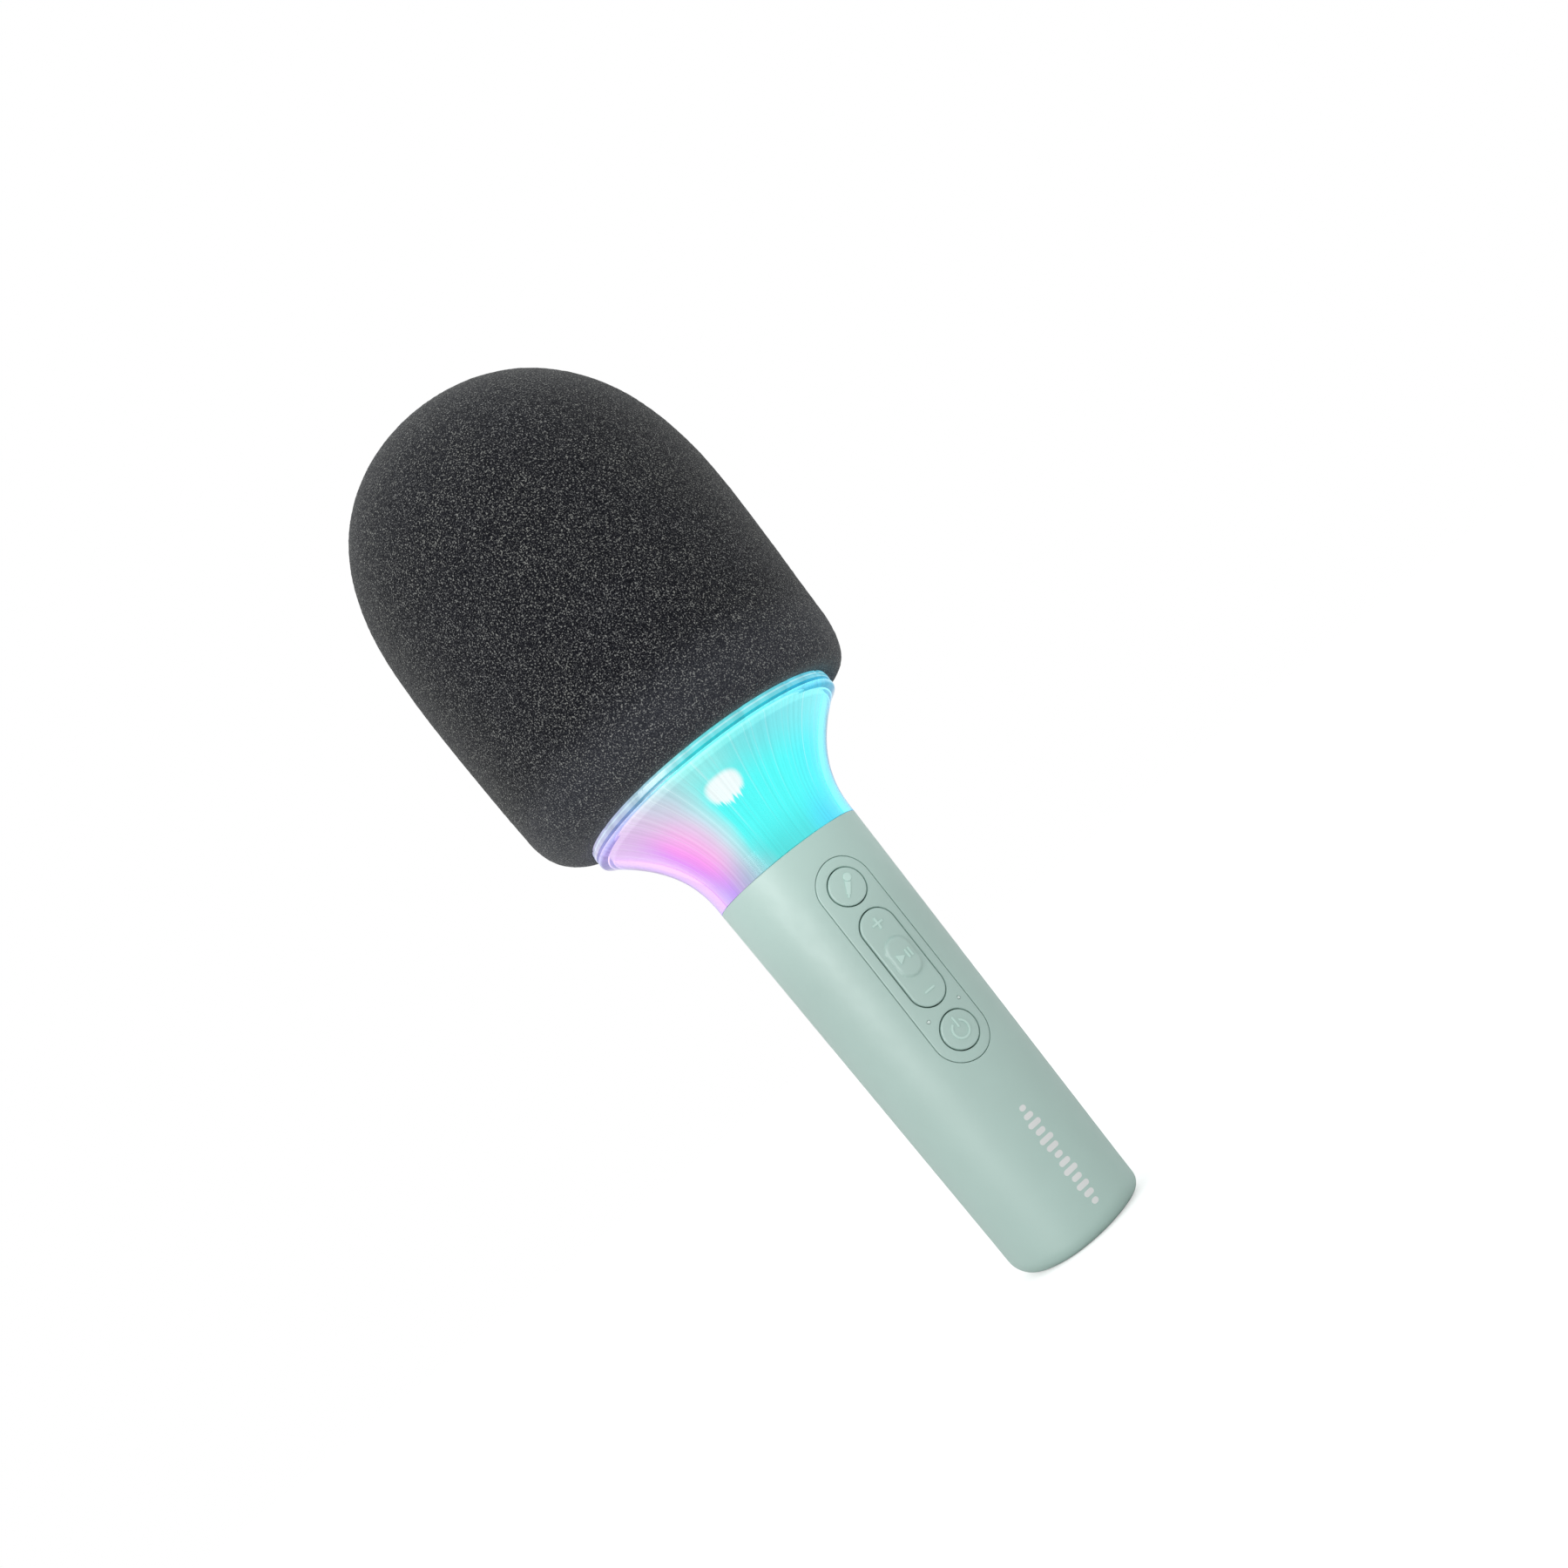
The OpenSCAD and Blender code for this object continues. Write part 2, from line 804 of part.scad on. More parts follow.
module mic_capsule() {
    color("#b9bdc0")
        difference() {
            bar_z(capsule_r, 0, 0, boot_z + 1.6, boot_z + 8.3);
            for (a = [0 : 60 : 300])
                rotate([0, 0, a])
                    bar_z(0.5, 2.4, 0, boot_z + 7.8, boot_z + 9);
            bar_z(0.5, 0, 0, boot_z + 7.8, boot_z + 9);
        }
}

module mic_lead() {
    side_x = 30.05;
    color("#54585c")
        wire([[0, 0, boot_z + 1.5], [0, 0, boot_z - 3], [20, 0, 190], [side_x, 0, 172],
            [side_x, 0, bracket_z + 0.6]], wire_r);
}

module foam_windscreen() {
    side_steps = 8;
    dome_steps = 28;
    edge_steps = 6;
    seat_r = rim_r + 0.9;
    edge_top_z = foam_z + foam_edge_h;
    bore = cage_outline(foam_gap);
    dome = [for (i = [0 : dome_steps]) let (a = 90 * i / dome_steps)
        [foam_r * pow(sin(a), 2 / 2.32), foam_wide_z + (foam_top_z - foam_wide_z) * pow(cos(a), 2 / 2.68)]];
    side = [for (i = [1 : side_steps]) let (t = i / side_steps)
        [foam_r - (foam_r - foam_low_r) * pow(t, 1.35), foam_wide_z - (foam_wide_z - edge_top_z) * t]];
    edge = [for (i = [1 : edge_steps]) let (a = 90 * i / edge_steps)
        [seat_r + (foam_low_r - seat_r) * cos(a), edge_top_z - foam_edge_h * sin(a)]];
    hollow = [for (i = [len(bore) - 2 : -1 : 0]) bore[i]];
    color("#45474a")
        rotate_extrude()
            polygon(concat(dome, side, edge, [[cage_r + foam_gap, foam_z]], hollow));
}

handle_shell();
end_cap();
end_cap_screws();
usb_shell();
usb_tongue();
charge_board();
chassis();
battery_cell();
battery_tabs();
battery_leads();
control_board();
board_chips();
board_screws();
key_switches();
status_lights();
light_pipes();
key_panel();
voice_key();
power_key();
rocker_key();
rocker_yoke();
rocker_pin();
neck_tube();
ring_lens();
ring_diffuser();
ring_board();
ring_lights();
ring_rim();
head_base();
head_screws();
speaker_bracket();
speaker_frame();
speaker_surround();
speaker_cone();
dust_cap();
voice_coil();
speaker_yoke();
speaker_magnet();
speaker_plate();
speaker_screws();
speaker_leads();
grille_cage();
mesh_liner();
capsule_boot();
mic_capsule();
mic_lead();
foam_windscreen();
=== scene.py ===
"""Looks of a karaoke toy microphone: foam windscreen, lit flared ring, mint handle with an inlaid key panel.

Shapes are worked out in millimetres and written to Blender in metres. The microphone stands upright on its
foot, its axis along Z, and its keys face -Y.
"""

import json
import random
from math import asin, ceil, copysign, cos, dist, hypot, pi, radians, sin, sqrt

import bmesh
import bpy
import numpy as np
from mathutils import Matrix, Vector
from mathutils.geometry import delaunay_2d_cdt


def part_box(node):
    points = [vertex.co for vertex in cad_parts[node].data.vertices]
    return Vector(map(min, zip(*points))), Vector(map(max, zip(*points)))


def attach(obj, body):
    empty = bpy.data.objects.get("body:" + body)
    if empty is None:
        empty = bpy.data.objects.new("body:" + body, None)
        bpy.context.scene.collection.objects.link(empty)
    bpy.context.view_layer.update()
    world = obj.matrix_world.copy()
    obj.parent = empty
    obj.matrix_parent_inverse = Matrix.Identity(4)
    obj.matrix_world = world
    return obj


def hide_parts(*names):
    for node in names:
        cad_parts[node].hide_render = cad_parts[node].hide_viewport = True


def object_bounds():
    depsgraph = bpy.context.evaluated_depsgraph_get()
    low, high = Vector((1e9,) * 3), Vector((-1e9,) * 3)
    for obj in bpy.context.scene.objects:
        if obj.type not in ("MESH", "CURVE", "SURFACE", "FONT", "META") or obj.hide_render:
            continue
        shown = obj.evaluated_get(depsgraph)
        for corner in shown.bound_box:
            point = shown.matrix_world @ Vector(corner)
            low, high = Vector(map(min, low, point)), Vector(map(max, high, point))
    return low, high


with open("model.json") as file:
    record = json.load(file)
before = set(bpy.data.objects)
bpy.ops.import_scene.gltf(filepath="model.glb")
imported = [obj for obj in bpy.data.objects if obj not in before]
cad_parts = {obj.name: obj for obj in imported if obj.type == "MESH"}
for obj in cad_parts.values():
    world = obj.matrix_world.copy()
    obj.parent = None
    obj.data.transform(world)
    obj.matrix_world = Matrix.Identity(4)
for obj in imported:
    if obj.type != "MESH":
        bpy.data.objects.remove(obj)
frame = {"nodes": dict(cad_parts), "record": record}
CAD_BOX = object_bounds()

MM = 0.001
TURN = 2 * pi
VIEW_AZIMUTH = -21.4  # the camera's side, in degrees from -Y towards +X
VIEW_RIGHT = (cos(radians(VIEW_AZIMUTH)), sin(radians(VIEW_AZIMUTH)))


# ---------------- sizes taken from the frame, in millimetres

def low(name):
    """A CAD node's lowest corner."""
    return [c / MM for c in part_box(name)[0]]


def high(name):
    """A CAD node's highest corner."""
    return [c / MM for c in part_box(name)[1]]


def middle_z(name):
    """Half-way up a CAD node."""
    return (low(name)[2] + high(name)[2]) / 2


def radius_near(name, z, reach=0.05):
    """The largest radius of a CAD node among its points within reach of height z."""
    points = frame["nodes"][name].data.vertices
    near = [hypot(v.co.x, v.co.y) for v in points if abs(v.co.z / MM - z) < reach]
    return max(near) / MM


FOOT_EDGE = 3.0  # height above which the handle tapers evenly
HANDLE_TOP = high("handle_shell")[2]
NECK_R = radius_near("handle_shell", HANDLE_TOP)
FOOT_R = radius_near("handle_shell", FOOT_EDGE)
HANDLE_WALL = 2.4
CAP_HOLE_R = 12.1

PANEL_R = high("key_panel")[0]
ROCKER_Z = middle_z("rocker_key")
ROCKER_R = high("rocker_key")[0]
ROCKER_HALF = (high("rocker_key")[2] - low("rocker_key")[2]) / 2 - ROCKER_R
VOICE_Z = middle_z("voice_key")
POWER_Z = middle_z("power_key")
KEY_R = ROCKER_R
KEY_GAP = 0.26
HOLE_R = KEY_R + KEY_GAP
KEY_LIFT = 0.3
STEP_Z = 8.9  # from the rocker's middle to its + and - marks
PANEL_Z = (VOICE_Z + POWER_Z) / 2
PANEL_HOLE_R = PANEL_R + 0.12
PANEL_HALF = 52.7 / 2 - PANEL_HOLE_R
PANEL_BACK = -15.0
FLANGE_R = 5.4

RIM_R = high("ring_rim")[0]
RIM_TOP = high("ring_rim")[2]
LIP_TOP = high("ring_lens")[2]
FLARE_TOP = LIP_TOP - 1.1
FLARE_POWER = 2.36
LENS_WALL = 2.0
RIM_BASE = RIM_TOP - 1.9
LIP_R = RIM_R + 0.45  # the rim and the flare's lip bulge a little past the flare

FOAM_LOW = low("foam_windscreen")
FOAM_HIGH = high("foam_windscreen")
CAGE_R = high("grille_cage")[0]
CAGE_TOP = high("grille_cage")[2]
CAGE_SIDE_TOP = 184.0


def handle_r(z):
    """Outer radius of the tapered handle at height z."""
    return FOOT_R + (NECK_R - FOOT_R) * (z - FOOT_EDGE) / (HANDLE_TOP - FOOT_EDGE)


def flare_r(z):
    """Outer radius of the flared ring at height z."""
    t = max(0.0, (z - HANDLE_TOP) / (FLARE_TOP - HANDLE_TOP))
    return NECK_R + (RIM_R - NECK_R) * t ** FLARE_POWER


# ---------------- mesh helpers

def added(name, data):
    """A new object in the scene."""
    obj = bpy.data.objects.new(name, data)
    bpy.context.scene.collection.objects.link(obj)
    return obj


def piece(name, verts, faces, body, slot, replaces=None, crease=40, material=None):
    """A mesh object from points in millimetres, riding on a body, with outward faces. Its material is its
    slot's unless another is named."""
    mesh = bpy.data.meshes.new(name)
    mesh.from_pydata([(x * MM, y * MM, z * MM) for x, y, z in verts], [], faces)
    work = bmesh.new()
    work.from_mesh(mesh)
    bmesh.ops.recalc_face_normals(work, faces=work.faces)
    work.to_mesh(mesh)
    work.free()
    mesh.polygons.foreach_set("use_smooth", [True] * len(mesh.polygons))
    mesh.set_sharp_from_angle(angle=radians(crease))
    mesh.materials.append(MATERIALS[material or slot])
    obj = added(name, mesh)
    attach(obj, body)
    if replaces:
        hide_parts(replaces)
    return obj


def round_point(r, a, z):
    """The point at radius r and height z, turned by a from -Y towards +X."""
    return r * sin(a), -r * cos(a), z


def bridge(a, b):
    """Quads between two closed loops of the same length."""
    n = len(a)
    return [(a[i], a[(i + 1) % n], b[(i + 1) % n], b[i]) for i in range(n)]


def row_faces(rows, count, closed=False):
    """Quads between neighbouring rows of count points each, and from the last row to the first if closed."""
    loops = [list(range(k * count, (k + 1) * count)) for k in range(rows)]
    after = loops[1:] + (loops[:1] if closed else [])
    return [f for a, b in zip(loops, after) for f in bridge(a, b)]


def zipper(a, b):
    """Triangles between two closed loops that may differ in length."""
    faces = []
    i = j = 0
    while i < len(a) or j < len(b):
        if j >= len(b) or (i < len(a) and (i + 1) * len(b) <= (j + 1) * len(a)):
            faces.append((a[i % len(a)], b[j % len(b)], a[(i + 1) % len(a)]))
            i += 1
        else:
            faces.append((a[i % len(a)], b[j % len(b)], b[(j + 1) % len(b)]))
            j += 1
    return faces


def refine(points, step):
    """A closed outline with its long straight edges cut into pieces no longer than step."""
    out = []
    for k, p in enumerate(points):
        q = points[(k + 1) % len(points)]
        cuts = max(1, ceil(dist(p, q) / step - 1e-6))
        out += [(p[0] + (q[0] - p[0]) * c / cuts, p[1] + (q[1] - p[1]) * c / cuts) for c in range(cuts)]
    return out


def oval(cx, cz, r, hx, hz, count=96, step=1.2):
    """A circle, or a slot with half-round ends, as a closed list of (x, z)."""
    points = []
    for k in range(count):
        a = TURN * (k + 0.5) / count
        c, s = cos(a), sin(a)
        points.append((cx + r * c + copysign(hx, c), cz + r * s + copysign(hz, s)))
    if hx or hz:
        points = refine(points, step)
    return points


def inside(points, outline):
    """For each point, whether it lies inside a closed outline."""
    px, pz = points[:, 0], points[:, 1]
    result = np.zeros(len(points), bool)
    ring = np.array(outline)
    for (x0, z0), (x1, z1) in zip(ring, np.roll(ring, -1, axis=0)):
        if z0 == z1:
            continue
        crosses = (z0 > pz) != (z1 > pz)
        result ^= crosses & (px < (x1 - x0) * (pz - z0) / (z1 - z0) + x0)
    return result


def within(points, outline, holes):
    """For each point, whether it lies inside an outline and outside its holes."""
    keep = inside(points, outline)
    for hole in holes:
        keep &= ~inside(points, hole)
    return keep


def fill(outline, holes, cell):
    """Triangles over an outline with holes: (the points, the loops' own first; the triangles)."""
    loops = [outline] + list(holes)
    points = [p for ring in loops for p in ring]
    edges = []
    start = 0
    for ring in loops:
        edges += [(start + k, start + (k + 1) % len(ring)) for k in range(len(ring))]
        start += len(ring)
    ring = np.array(outline)
    (x0, z0), (x1, z1) = ring.min(axis=0), ring.max(axis=0)
    rows = np.arange(z0 + cell / 2, z1, cell * 0.866)
    grid = np.array([(x, z) for k, z in enumerate(rows) for x in np.arange(x0 + cell * (k % 2) / 2, x1, cell)])
    if len(grid):
        keep = within(grid, outline, holes)
        fixed = np.array(points)
        for start in range(0, len(grid), 2000):
            part = grid[start:start + 2000]
            gap = np.sqrt(((part[:, None, :] - fixed[None, :, :]) ** 2).sum(axis=2)).min(axis=1)
            keep[start:start + 2000] &= gap > cell * 0.6
        points += [tuple(p) for p in grid[keep]]
    out, _, faces, origin, _, _ = delaunay_2d_cdt([Vector(p) for p in points], edges, [], 0, 1e-6)
    back = {new: olds[-1] for new, olds in enumerate(origin) if olds}
    middles = np.array([np.mean([out[i][:] for i in f], axis=0) for f in faces])
    return points, [tuple(back[i] for i in f) for f, k in zip(faces, within(middles, outline, holes)) if k]


def on_handle(x, z, lift):
    """Y of the handle's key side at (x, z), with lift standing out of it."""
    r = handle_r(z) + lift
    return -sqrt(r * r - x * x)


def laid(points, lift):
    """Flat (x, z) points laid on the handle's key side."""
    return [(x, on_handle(x, z, lift), z) for x, z in points]


def plate(outline, holes=(), *, fillet, cell, lift=0.0, steps=4, back=None, sunk=0.0, relief=None):
    """A closed plate that follows the handle: rounded front edge, straight walls, and a back that is flat at
    y = back, or follows the handle at sunk below it. The outline and holes are tuples for oval(). relief(x, z)
    raises the front."""
    def ring(shape, grow):
        cx, cz, r, hx, hz = shape
        return oval(cx, cz, r + grow, hx, hz, step=cell)

    def rings(inset):
        return [ring(outline, -inset)] + [ring(h, min(inset, h[2] / 4)) for h in holes]

    def front(x, z, drop):
        return on_handle(x, z, lift + (relief(x, z) if relief else 0.0)) + drop

    top = rings(fillet)
    flat, faces = fill(top[0], top[1:], cell)
    verts = [(x, front(x, z, 0), z) for x, z in flat]
    starts = np.cumsum([0] + [len(r) for r in top])
    loops = [list(range(starts[k], starts[k + 1])) for k in range(len(top))]
    for inset, drop in rounding(fillet, steps):
        loops = stitch(verts, faces, loops, [[(x, front(x, z, drop), z) for x, z in r] for r in rings(inset)])

    def rear(x, z):
        return back if back is not None else on_handle(x, z, -sunk)

    rim = rings(0)
    loops = stitch(verts, faces, loops, [[(x, rear(x, z), z) for x, z in r] for r in rim])
    flat, inner = fill(rim[0], rim[1:], cell * 2)
    index = [i for r in loops for i in r]
    for x, z in flat[len(index):]:
        index.append(len(verts))
        verts.append((x, rear(x, z), z))
    faces += [tuple(index[i] for i in f) for f in inner]
    return verts, faces


def quarter_turn(steps):
    """The angles that end each of some equal steps over a quarter turn."""
    return [pi / 2 * k / steps for k in range(1, steps + 1)]


def rounding(fillet, steps):
    """(distance in from the side, drop from the top) at even steps over a rounded edge."""
    return [(fillet * (1 - sin(a)), fillet * (1 - cos(a))) for a in quarter_turn(steps)]


def stitch(verts, faces, loops, new_rings):
    """Adds new rings of points, joins each to its old loop, and returns the new loops."""
    fresh = []
    for old, ring in zip(loops, new_rings):
        start = len(verts)
        verts += ring
        new = list(range(start, start + len(ring)))
        faces += bridge(old, new)
        fresh.append(new)
    return fresh


def merged(parts):
    """Several (verts, faces) as one."""
    verts, faces = [], []
    for v, f in parts:
        start = len(verts)
        verts += v
        faces += [tuple(i + start for i in face) for face in f]
    return verts, faces


def lathe(profile, angles, shape=None):
    """A closed outline of (r, z) points turned round the axis. shape(r, angle, k) may change point k's r."""
    verts = [round_point(shape(r, a, k) if shape else r, a, z)
             for k, (r, z) in enumerate(profile) for a in angles]
    return verts, row_faces(len(profile), len(angles), closed=True)


def even_angles(count):
    """Equal steps round a whole turn."""
    return [TURN * k / count for k in range(count)]


def corner(cx, cz, r, start, end, steps):
    """Points on an arc in an (r, z) outline, angles in degrees."""
    return [(cx + r * cos(radians(start + (end - start) * k / steps)),
             cz + r * sin(radians(start + (end - start) * k / steps))) for k in range(steps + 1)]


# ---------------- materials

MATERIALS = {}


def blank(name):
    """A new material, kept in MATERIALS: (its node tree, its Principled shader)."""
    m = bpy.data.materials.new(name)
    m.use_nodes = True
    MATERIALS[name] = m
    return m.node_tree, m.node_tree.nodes["Principled BSDF"]


def feed(tree, socket, value):
    """Gives an input its number or colour, or links another socket to it."""
    if isinstance(value, bpy.types.NodeSocket):
        tree.links.new(value, socket)
    else:
        socket.default_value = value


def plug(tree, n, **values):
    """Feeds a node's inputs by name. In a name, _ is a space."""
    for key, value in values.items():
        feed(tree, n.inputs[key.replace("_", " ")], value)


def node(tree, kind, settings=(), output=0, **values):
    """Adds a shader node with its settings and its inputs' values. Returns one of its outputs."""
    n = tree.nodes.new("ShaderNode" + kind)
    for key, value in dict(settings).items():
        setattr(n, key, value)
    plug(tree, n, **values)
    return n.outputs[output]


def place(tree):
    """Object coordinates, which are the frame's metres and move with the piece's body."""
    return node(tree, "TexCoord", output="Object")


def noise(tree, vector, size_mm, detail=2.0, roughness=0.5):
    """Noise with features of about size_mm."""
    return node(tree, "TexNoise", Vector=vector, Scale=1 / (size_mm * MM), Detail=detail, Roughness=roughness)


def streaks(tree, across, scale, detail):
    """Noise that changes only round the axis."""
    return node(tree, "TexNoise", {"noise_dimensions": "1D"}, W=across, Scale=scale, Detail=detail)


def ramp(tree, value, stops):
    """A colour ramp through (position, colour) stops."""
    result = node(tree, "ValToRGB", Fac=value)
    elements = result.node.color_ramp.elements
    while len(elements) < len(stops):
        elements.new(0.5)
    for e, (position, colour) in zip(elements, stops):
        e.position = position
        e.color = (*colour, 1.0)
    return result


def map_range(tree, value, from_low, from_high, to_low, to_high, kind="SMOOTHSTEP"):
    """Maps one range to another, held at its ends."""
    return node(tree, "MapRange", {"interpolation_type": kind}, Value=value, From_Min=from_low,
                From_Max=from_high, To_Min=to_low, To_Max=to_high)


def stretch(tree, value, to_low, to_high, from_low=0.3, from_high=0.7):
    """Maps a noise value to a range, evenly."""
    return map_range(tree, value, from_low, from_high, to_low, to_high, "LINEAR")


def calc(tree, operation, *values):
    """One sum on sockets or numbers."""
    result = node(tree, "Math", {"operation": operation})
    for socket, value in zip(result.node.inputs, values):
        feed(tree, socket, value)
    return result


def times(tree, a, b):
    """Two values multiplied."""
    return calc(tree, "MULTIPLY", a, b)


def off(tree, value, middle):
    """How far a value is from its middle, either way."""
    return calc(tree, "ABSOLUTE", calc(tree, "SUBTRACT", value, middle))


def blended(tree, factor, a, b, mode="MIX"):
    """Mixes two colours, each a socket or a tuple."""
    result = node(tree, "Mix", {"data_type": "RGBA", "blend_type": mode}, 2, Factor=factor)
    for socket, value in zip(result.node.inputs[6:8], (a, b)):
        feed(tree, socket, (*value, 1) if isinstance(value, tuple) else value)
    return result


def bump(tree, height, depth_mm, strength):
    """A normal that follows a height."""
    return node(tree, "Bump", Height=height, Strength=strength, Distance=depth_mm * MM)


def shade(colour, k):
    """A colour made k times as bright."""
    return tuple(min(1.0, c * k) for c in colour)


def linear(hex_colour):
    """A colour written as rrggbb, as linear values."""
    parts = [int(hex_colour[k:k + 2], 16) / 255 for k in (0, 2, 4)]
    return tuple(c / 12.92 if c <= 0.04045 else ((c + 0.055) / 1.055) ** 2.4 for c in parts)


def moulded(name, colour, rough, grain, depth, mottle, patch=9.0, coat=0.0, metallic=0.0, ring_glow_painted=False):
    """Moulded plastic or painted metal: faint mottling, uneven gloss and a fine moulded grain. Plastic with the
    ring's glow painted in grows paler towards the ring, painted light in place of the ring's light soaking into
    it."""
    tree, shader = blank(name)
    at = place(tree)
    darker, lighter = shade(colour, 1 - mottle), shade(colour, 1 + mottle)
    tint = ramp(tree, noise(tree, at, patch, 3.0), [(0.3, darker), (0.7, lighter)])
    # Painted light: the colour is painted up to 1.2 times paler from 72 mm to 107 mm up, as the ring's glow.
    if ring_glow_painted:
        up = node(tree, "SeparateXYZ", output="Z", Vector=at)
        tint = blended(tree, map_range(tree, up, 72 * MM, 107 * MM, 0.0, 1.0), tint, shade(colour, 1.2))
    gloss = stretch(tree, noise(tree, at, patch * 0.4), rough - 0.05, rough + 0.05)
    plug(tree, shader, Base_Color=tint, Roughness=gloss, Metallic=metallic, Coat_Weight=coat, Coat_Roughness=0.2,
         Normal=bump(tree, noise(tree, at, grain, 2.0), depth, 0.5))


def turned_metal(name, colour, rough=0.32, along=(1, 1, 30)):
    """Bare or plated metal with fine drawn lines."""
    tree, shader = blank(name)
    at = node(tree, "Mapping", Vector=place(tree), Scale=along)
    lines = noise(tree, at, 1.2, 4.0, 0.65)
    plug(tree, shader, Base_Color=ramp(tree, lines, [(0.3, shade(colour, 0.86)), (0.7, shade(colour, 1.1))]),
         Metallic=1.0, Roughness=stretch(tree, lines, rough - 0.08, rough + 0.1),
         Normal=bump(tree, lines, 0.01, 0.4))


def circuit_board(name, colour, track):
    """Solder mask over copper tracks, with bare pads."""
    tree, shader = blank(name)
    at = place(tree)
    cells = node(tree, "TexVoronoi", {"feature": "DISTANCE_TO_EDGE"}, Vector=at, Scale=1 / (2.4 * MM),
                 Randomness=0.35)
    pads = node(tree, "TexVoronoi", Vector=at, Scale=1 / (3.1 * MM), Randomness=0.6)
    spots = ramp(tree, pads, [(0.1, (1, 1, 1)), (0.13, (0, 0, 0))])
    tracks = ramp(tree, cells, [(0.05, track), (0.09, colour)])
    plug(tree, shader, Base_Color=blended(tree, spots, tracks, (0.75, 0.6, 0.3)), Roughness=0.35,
         Normal=bump(tree, cells, 0.04, 0.3))


def punched_mesh(name, colour):
    """Painted sheet with rows of punched holes round the axis."""
    tree, shader = blank(name)
    across, up = round_the_axis(tree)
    holes_round, pitch = 150, 1.3
    spot = node(tree, "CombineXYZ", X=times(tree, across, holes_round),
                Y=calc(tree, "DIVIDE", up, pitch * MM))
    cells = node(tree, "TexVoronoi", {"voronoi_dimensions": "2D"}, Vector=spot, Scale=1.0, Randomness=0.0)
    plug(tree, shader, Base_Color=ramp(tree, cells, [(0.28, (0.004, 0.004, 0.005)), (0.36, colour)]),
         Metallic=0.6, Roughness=0.4, Normal=bump(tree, stretch(tree, cells, 0, 1, 0.26, 0.4), 0.25, 0.9))


def round_the_axis(tree):
    """(turns round the axis from -Y towards +X, from -0.5 to 0.5; height in metres)."""
    x, y, z = node(tree, "SeparateXYZ", Vector=place(tree)).node.outputs
    angle = calc(tree, "ARCTAN2", x, times(tree, y, -1.0))
    return calc(tree, "DIVIDE", angle, TURN), z


# Colours round the axis, in degrees from the key side, positive towards +X: of the ring's light near the handle,
# in its middle and under the rim, of its clear wall, and of the rim.
RING_LOW = {
    -180: "8f86f4", -120: "b48cf8", -91: "dcc0fb", -81: "ccb8fa", -71: "c29efa", -61: "c0aee4", -51: "b4bada",
    -41: "a4d0d8", -33: "8ad8dc", -21: "5ae0de", 9: "5ae4e6", 19: "5ae4f8", 29: "5adcfc", 49: "72e8fc",
    90: "70b8fc", 180: "8f86f4"
}
RING_MIDDLE = {
    -180: "9a8cff", -120: "d09cfc", -101: "e8bcf8", -91: "e8b8f6", -81: "e094f5", -71: "fc9cf2",
    -61: "fab6ee", -51: "eacdec", -41: "c4eaf0", -36: "a8f0f2", -32: "58fbf8", 9: "58fcfa", 19: "58fcfc",
    39: "5cf4fc", 49: "66ecfa", 80: "66ccfc", 130: "7c98fc", 180: "9a8cff"
}
RING_HIGH = {
    -180: "a49ce8", -120: "c8b0e4", -91: "d8bce6", -71: "dabce4", -61: "d8c8e4", -51: "ccd2e2", -41: "b6dce2",
    -31: "9ceae8", -21: "94ecea", -11: "7ce4e4", 9: "7ce2e8", 29: "86e8ee", 49: "8eecf2", 90: "90cce8",
    180: "a49ce8"
}
RING_TINT = {
    -180: "b8acff", -110: "e4c6ff", -91: "efc8fc", -71: "f0cafc", -55: "eed8f4", -44: "d8e6f0", -33: "98f6f6",
    29: "86fafe", 55: "88f4fe", 90: "88d8ff", 140: "a4bcff", 180: "b8acff"
}
RIM_COLOURS = {
    -180: "a0a0dc", -101: "b0b2d4", -91: "c4c0e0", -71: "b4bcdc", -61: "b0bedc", -51: "a6c6d8", -41: "98cedc",
    -33: "8edfe4", -21: "6cdce0", 9: "6ad4de", 29: "66cade", 59: "6ac4da", 110: "86b0de", 180: "a0a0dc"
}
WALL_GLOW = 0.07  # share of the ring's light that leaves from each face of its wall


def round_ramp(tree, across, colours):
    """A colour that changes round the axis through stops of degrees: rrggbb."""
    turn = calc(tree, "ADD", across, 0.5)
    return ramp(tree, turn, [((deg + 180) / 360, linear(colour)) for deg, colour in colours.items()])


def ring_light(tree):
    """The ring's colour at a point: bands round the axis that change with height."""
    across, up = round_the_axis(tree)
    wobble = noise(tree, place(tree), 16.0, 2.0)
    across = calc(tree, "ADD", across, stretch(tree, wobble, -0.008, 0.008))
    low_part, middle, upper = (round_ramp(tree, across, part) for part in (RING_LOW, RING_MIDDLE, RING_HIGH))
    colour = blended(tree, map_range(tree, up, 103 * MM, 114 * MM, 0, 1), low_part, middle)
    return blended(tree, map_range(tree, up, 119 * MM, 128.5 * MM, 0, 1), colour, upper)


def wall_light(tree):
    """The deeper colour of the light that travels inside the clear wall."""
    return node(tree, "Gamma", Color=ring_light(tree), Gamma=1.5)


def core_ribs(tree, across, up, streak):
    """How strongly the core's fine moulded ribs show: 48 wandering lines, strongest high up and in the pink."""
    wandering = calc(tree, "ADD", across, stretch(tree, streaks(tree, across, 22.0, 1.0), 0.49, 0.51))
    phase = calc(tree, "FRACT", times(tree, wandering, 48))
    reach = calc(tree, "MAXIMUM", map_range(tree, up, 107 * MM, 121 * MM, 0.04, 0.5),
                      map_range(tree, across, -0.15, -0.08, 0.8, 0.0))
    rib = times(tree, map_range(tree, off(tree, phase, 0.5), 0.0, 0.06, 0.8, 0.0), reach)
    return times(tree, rib, stretch(tree, streak, 0.1, 1.0, 0.4, 0.6))


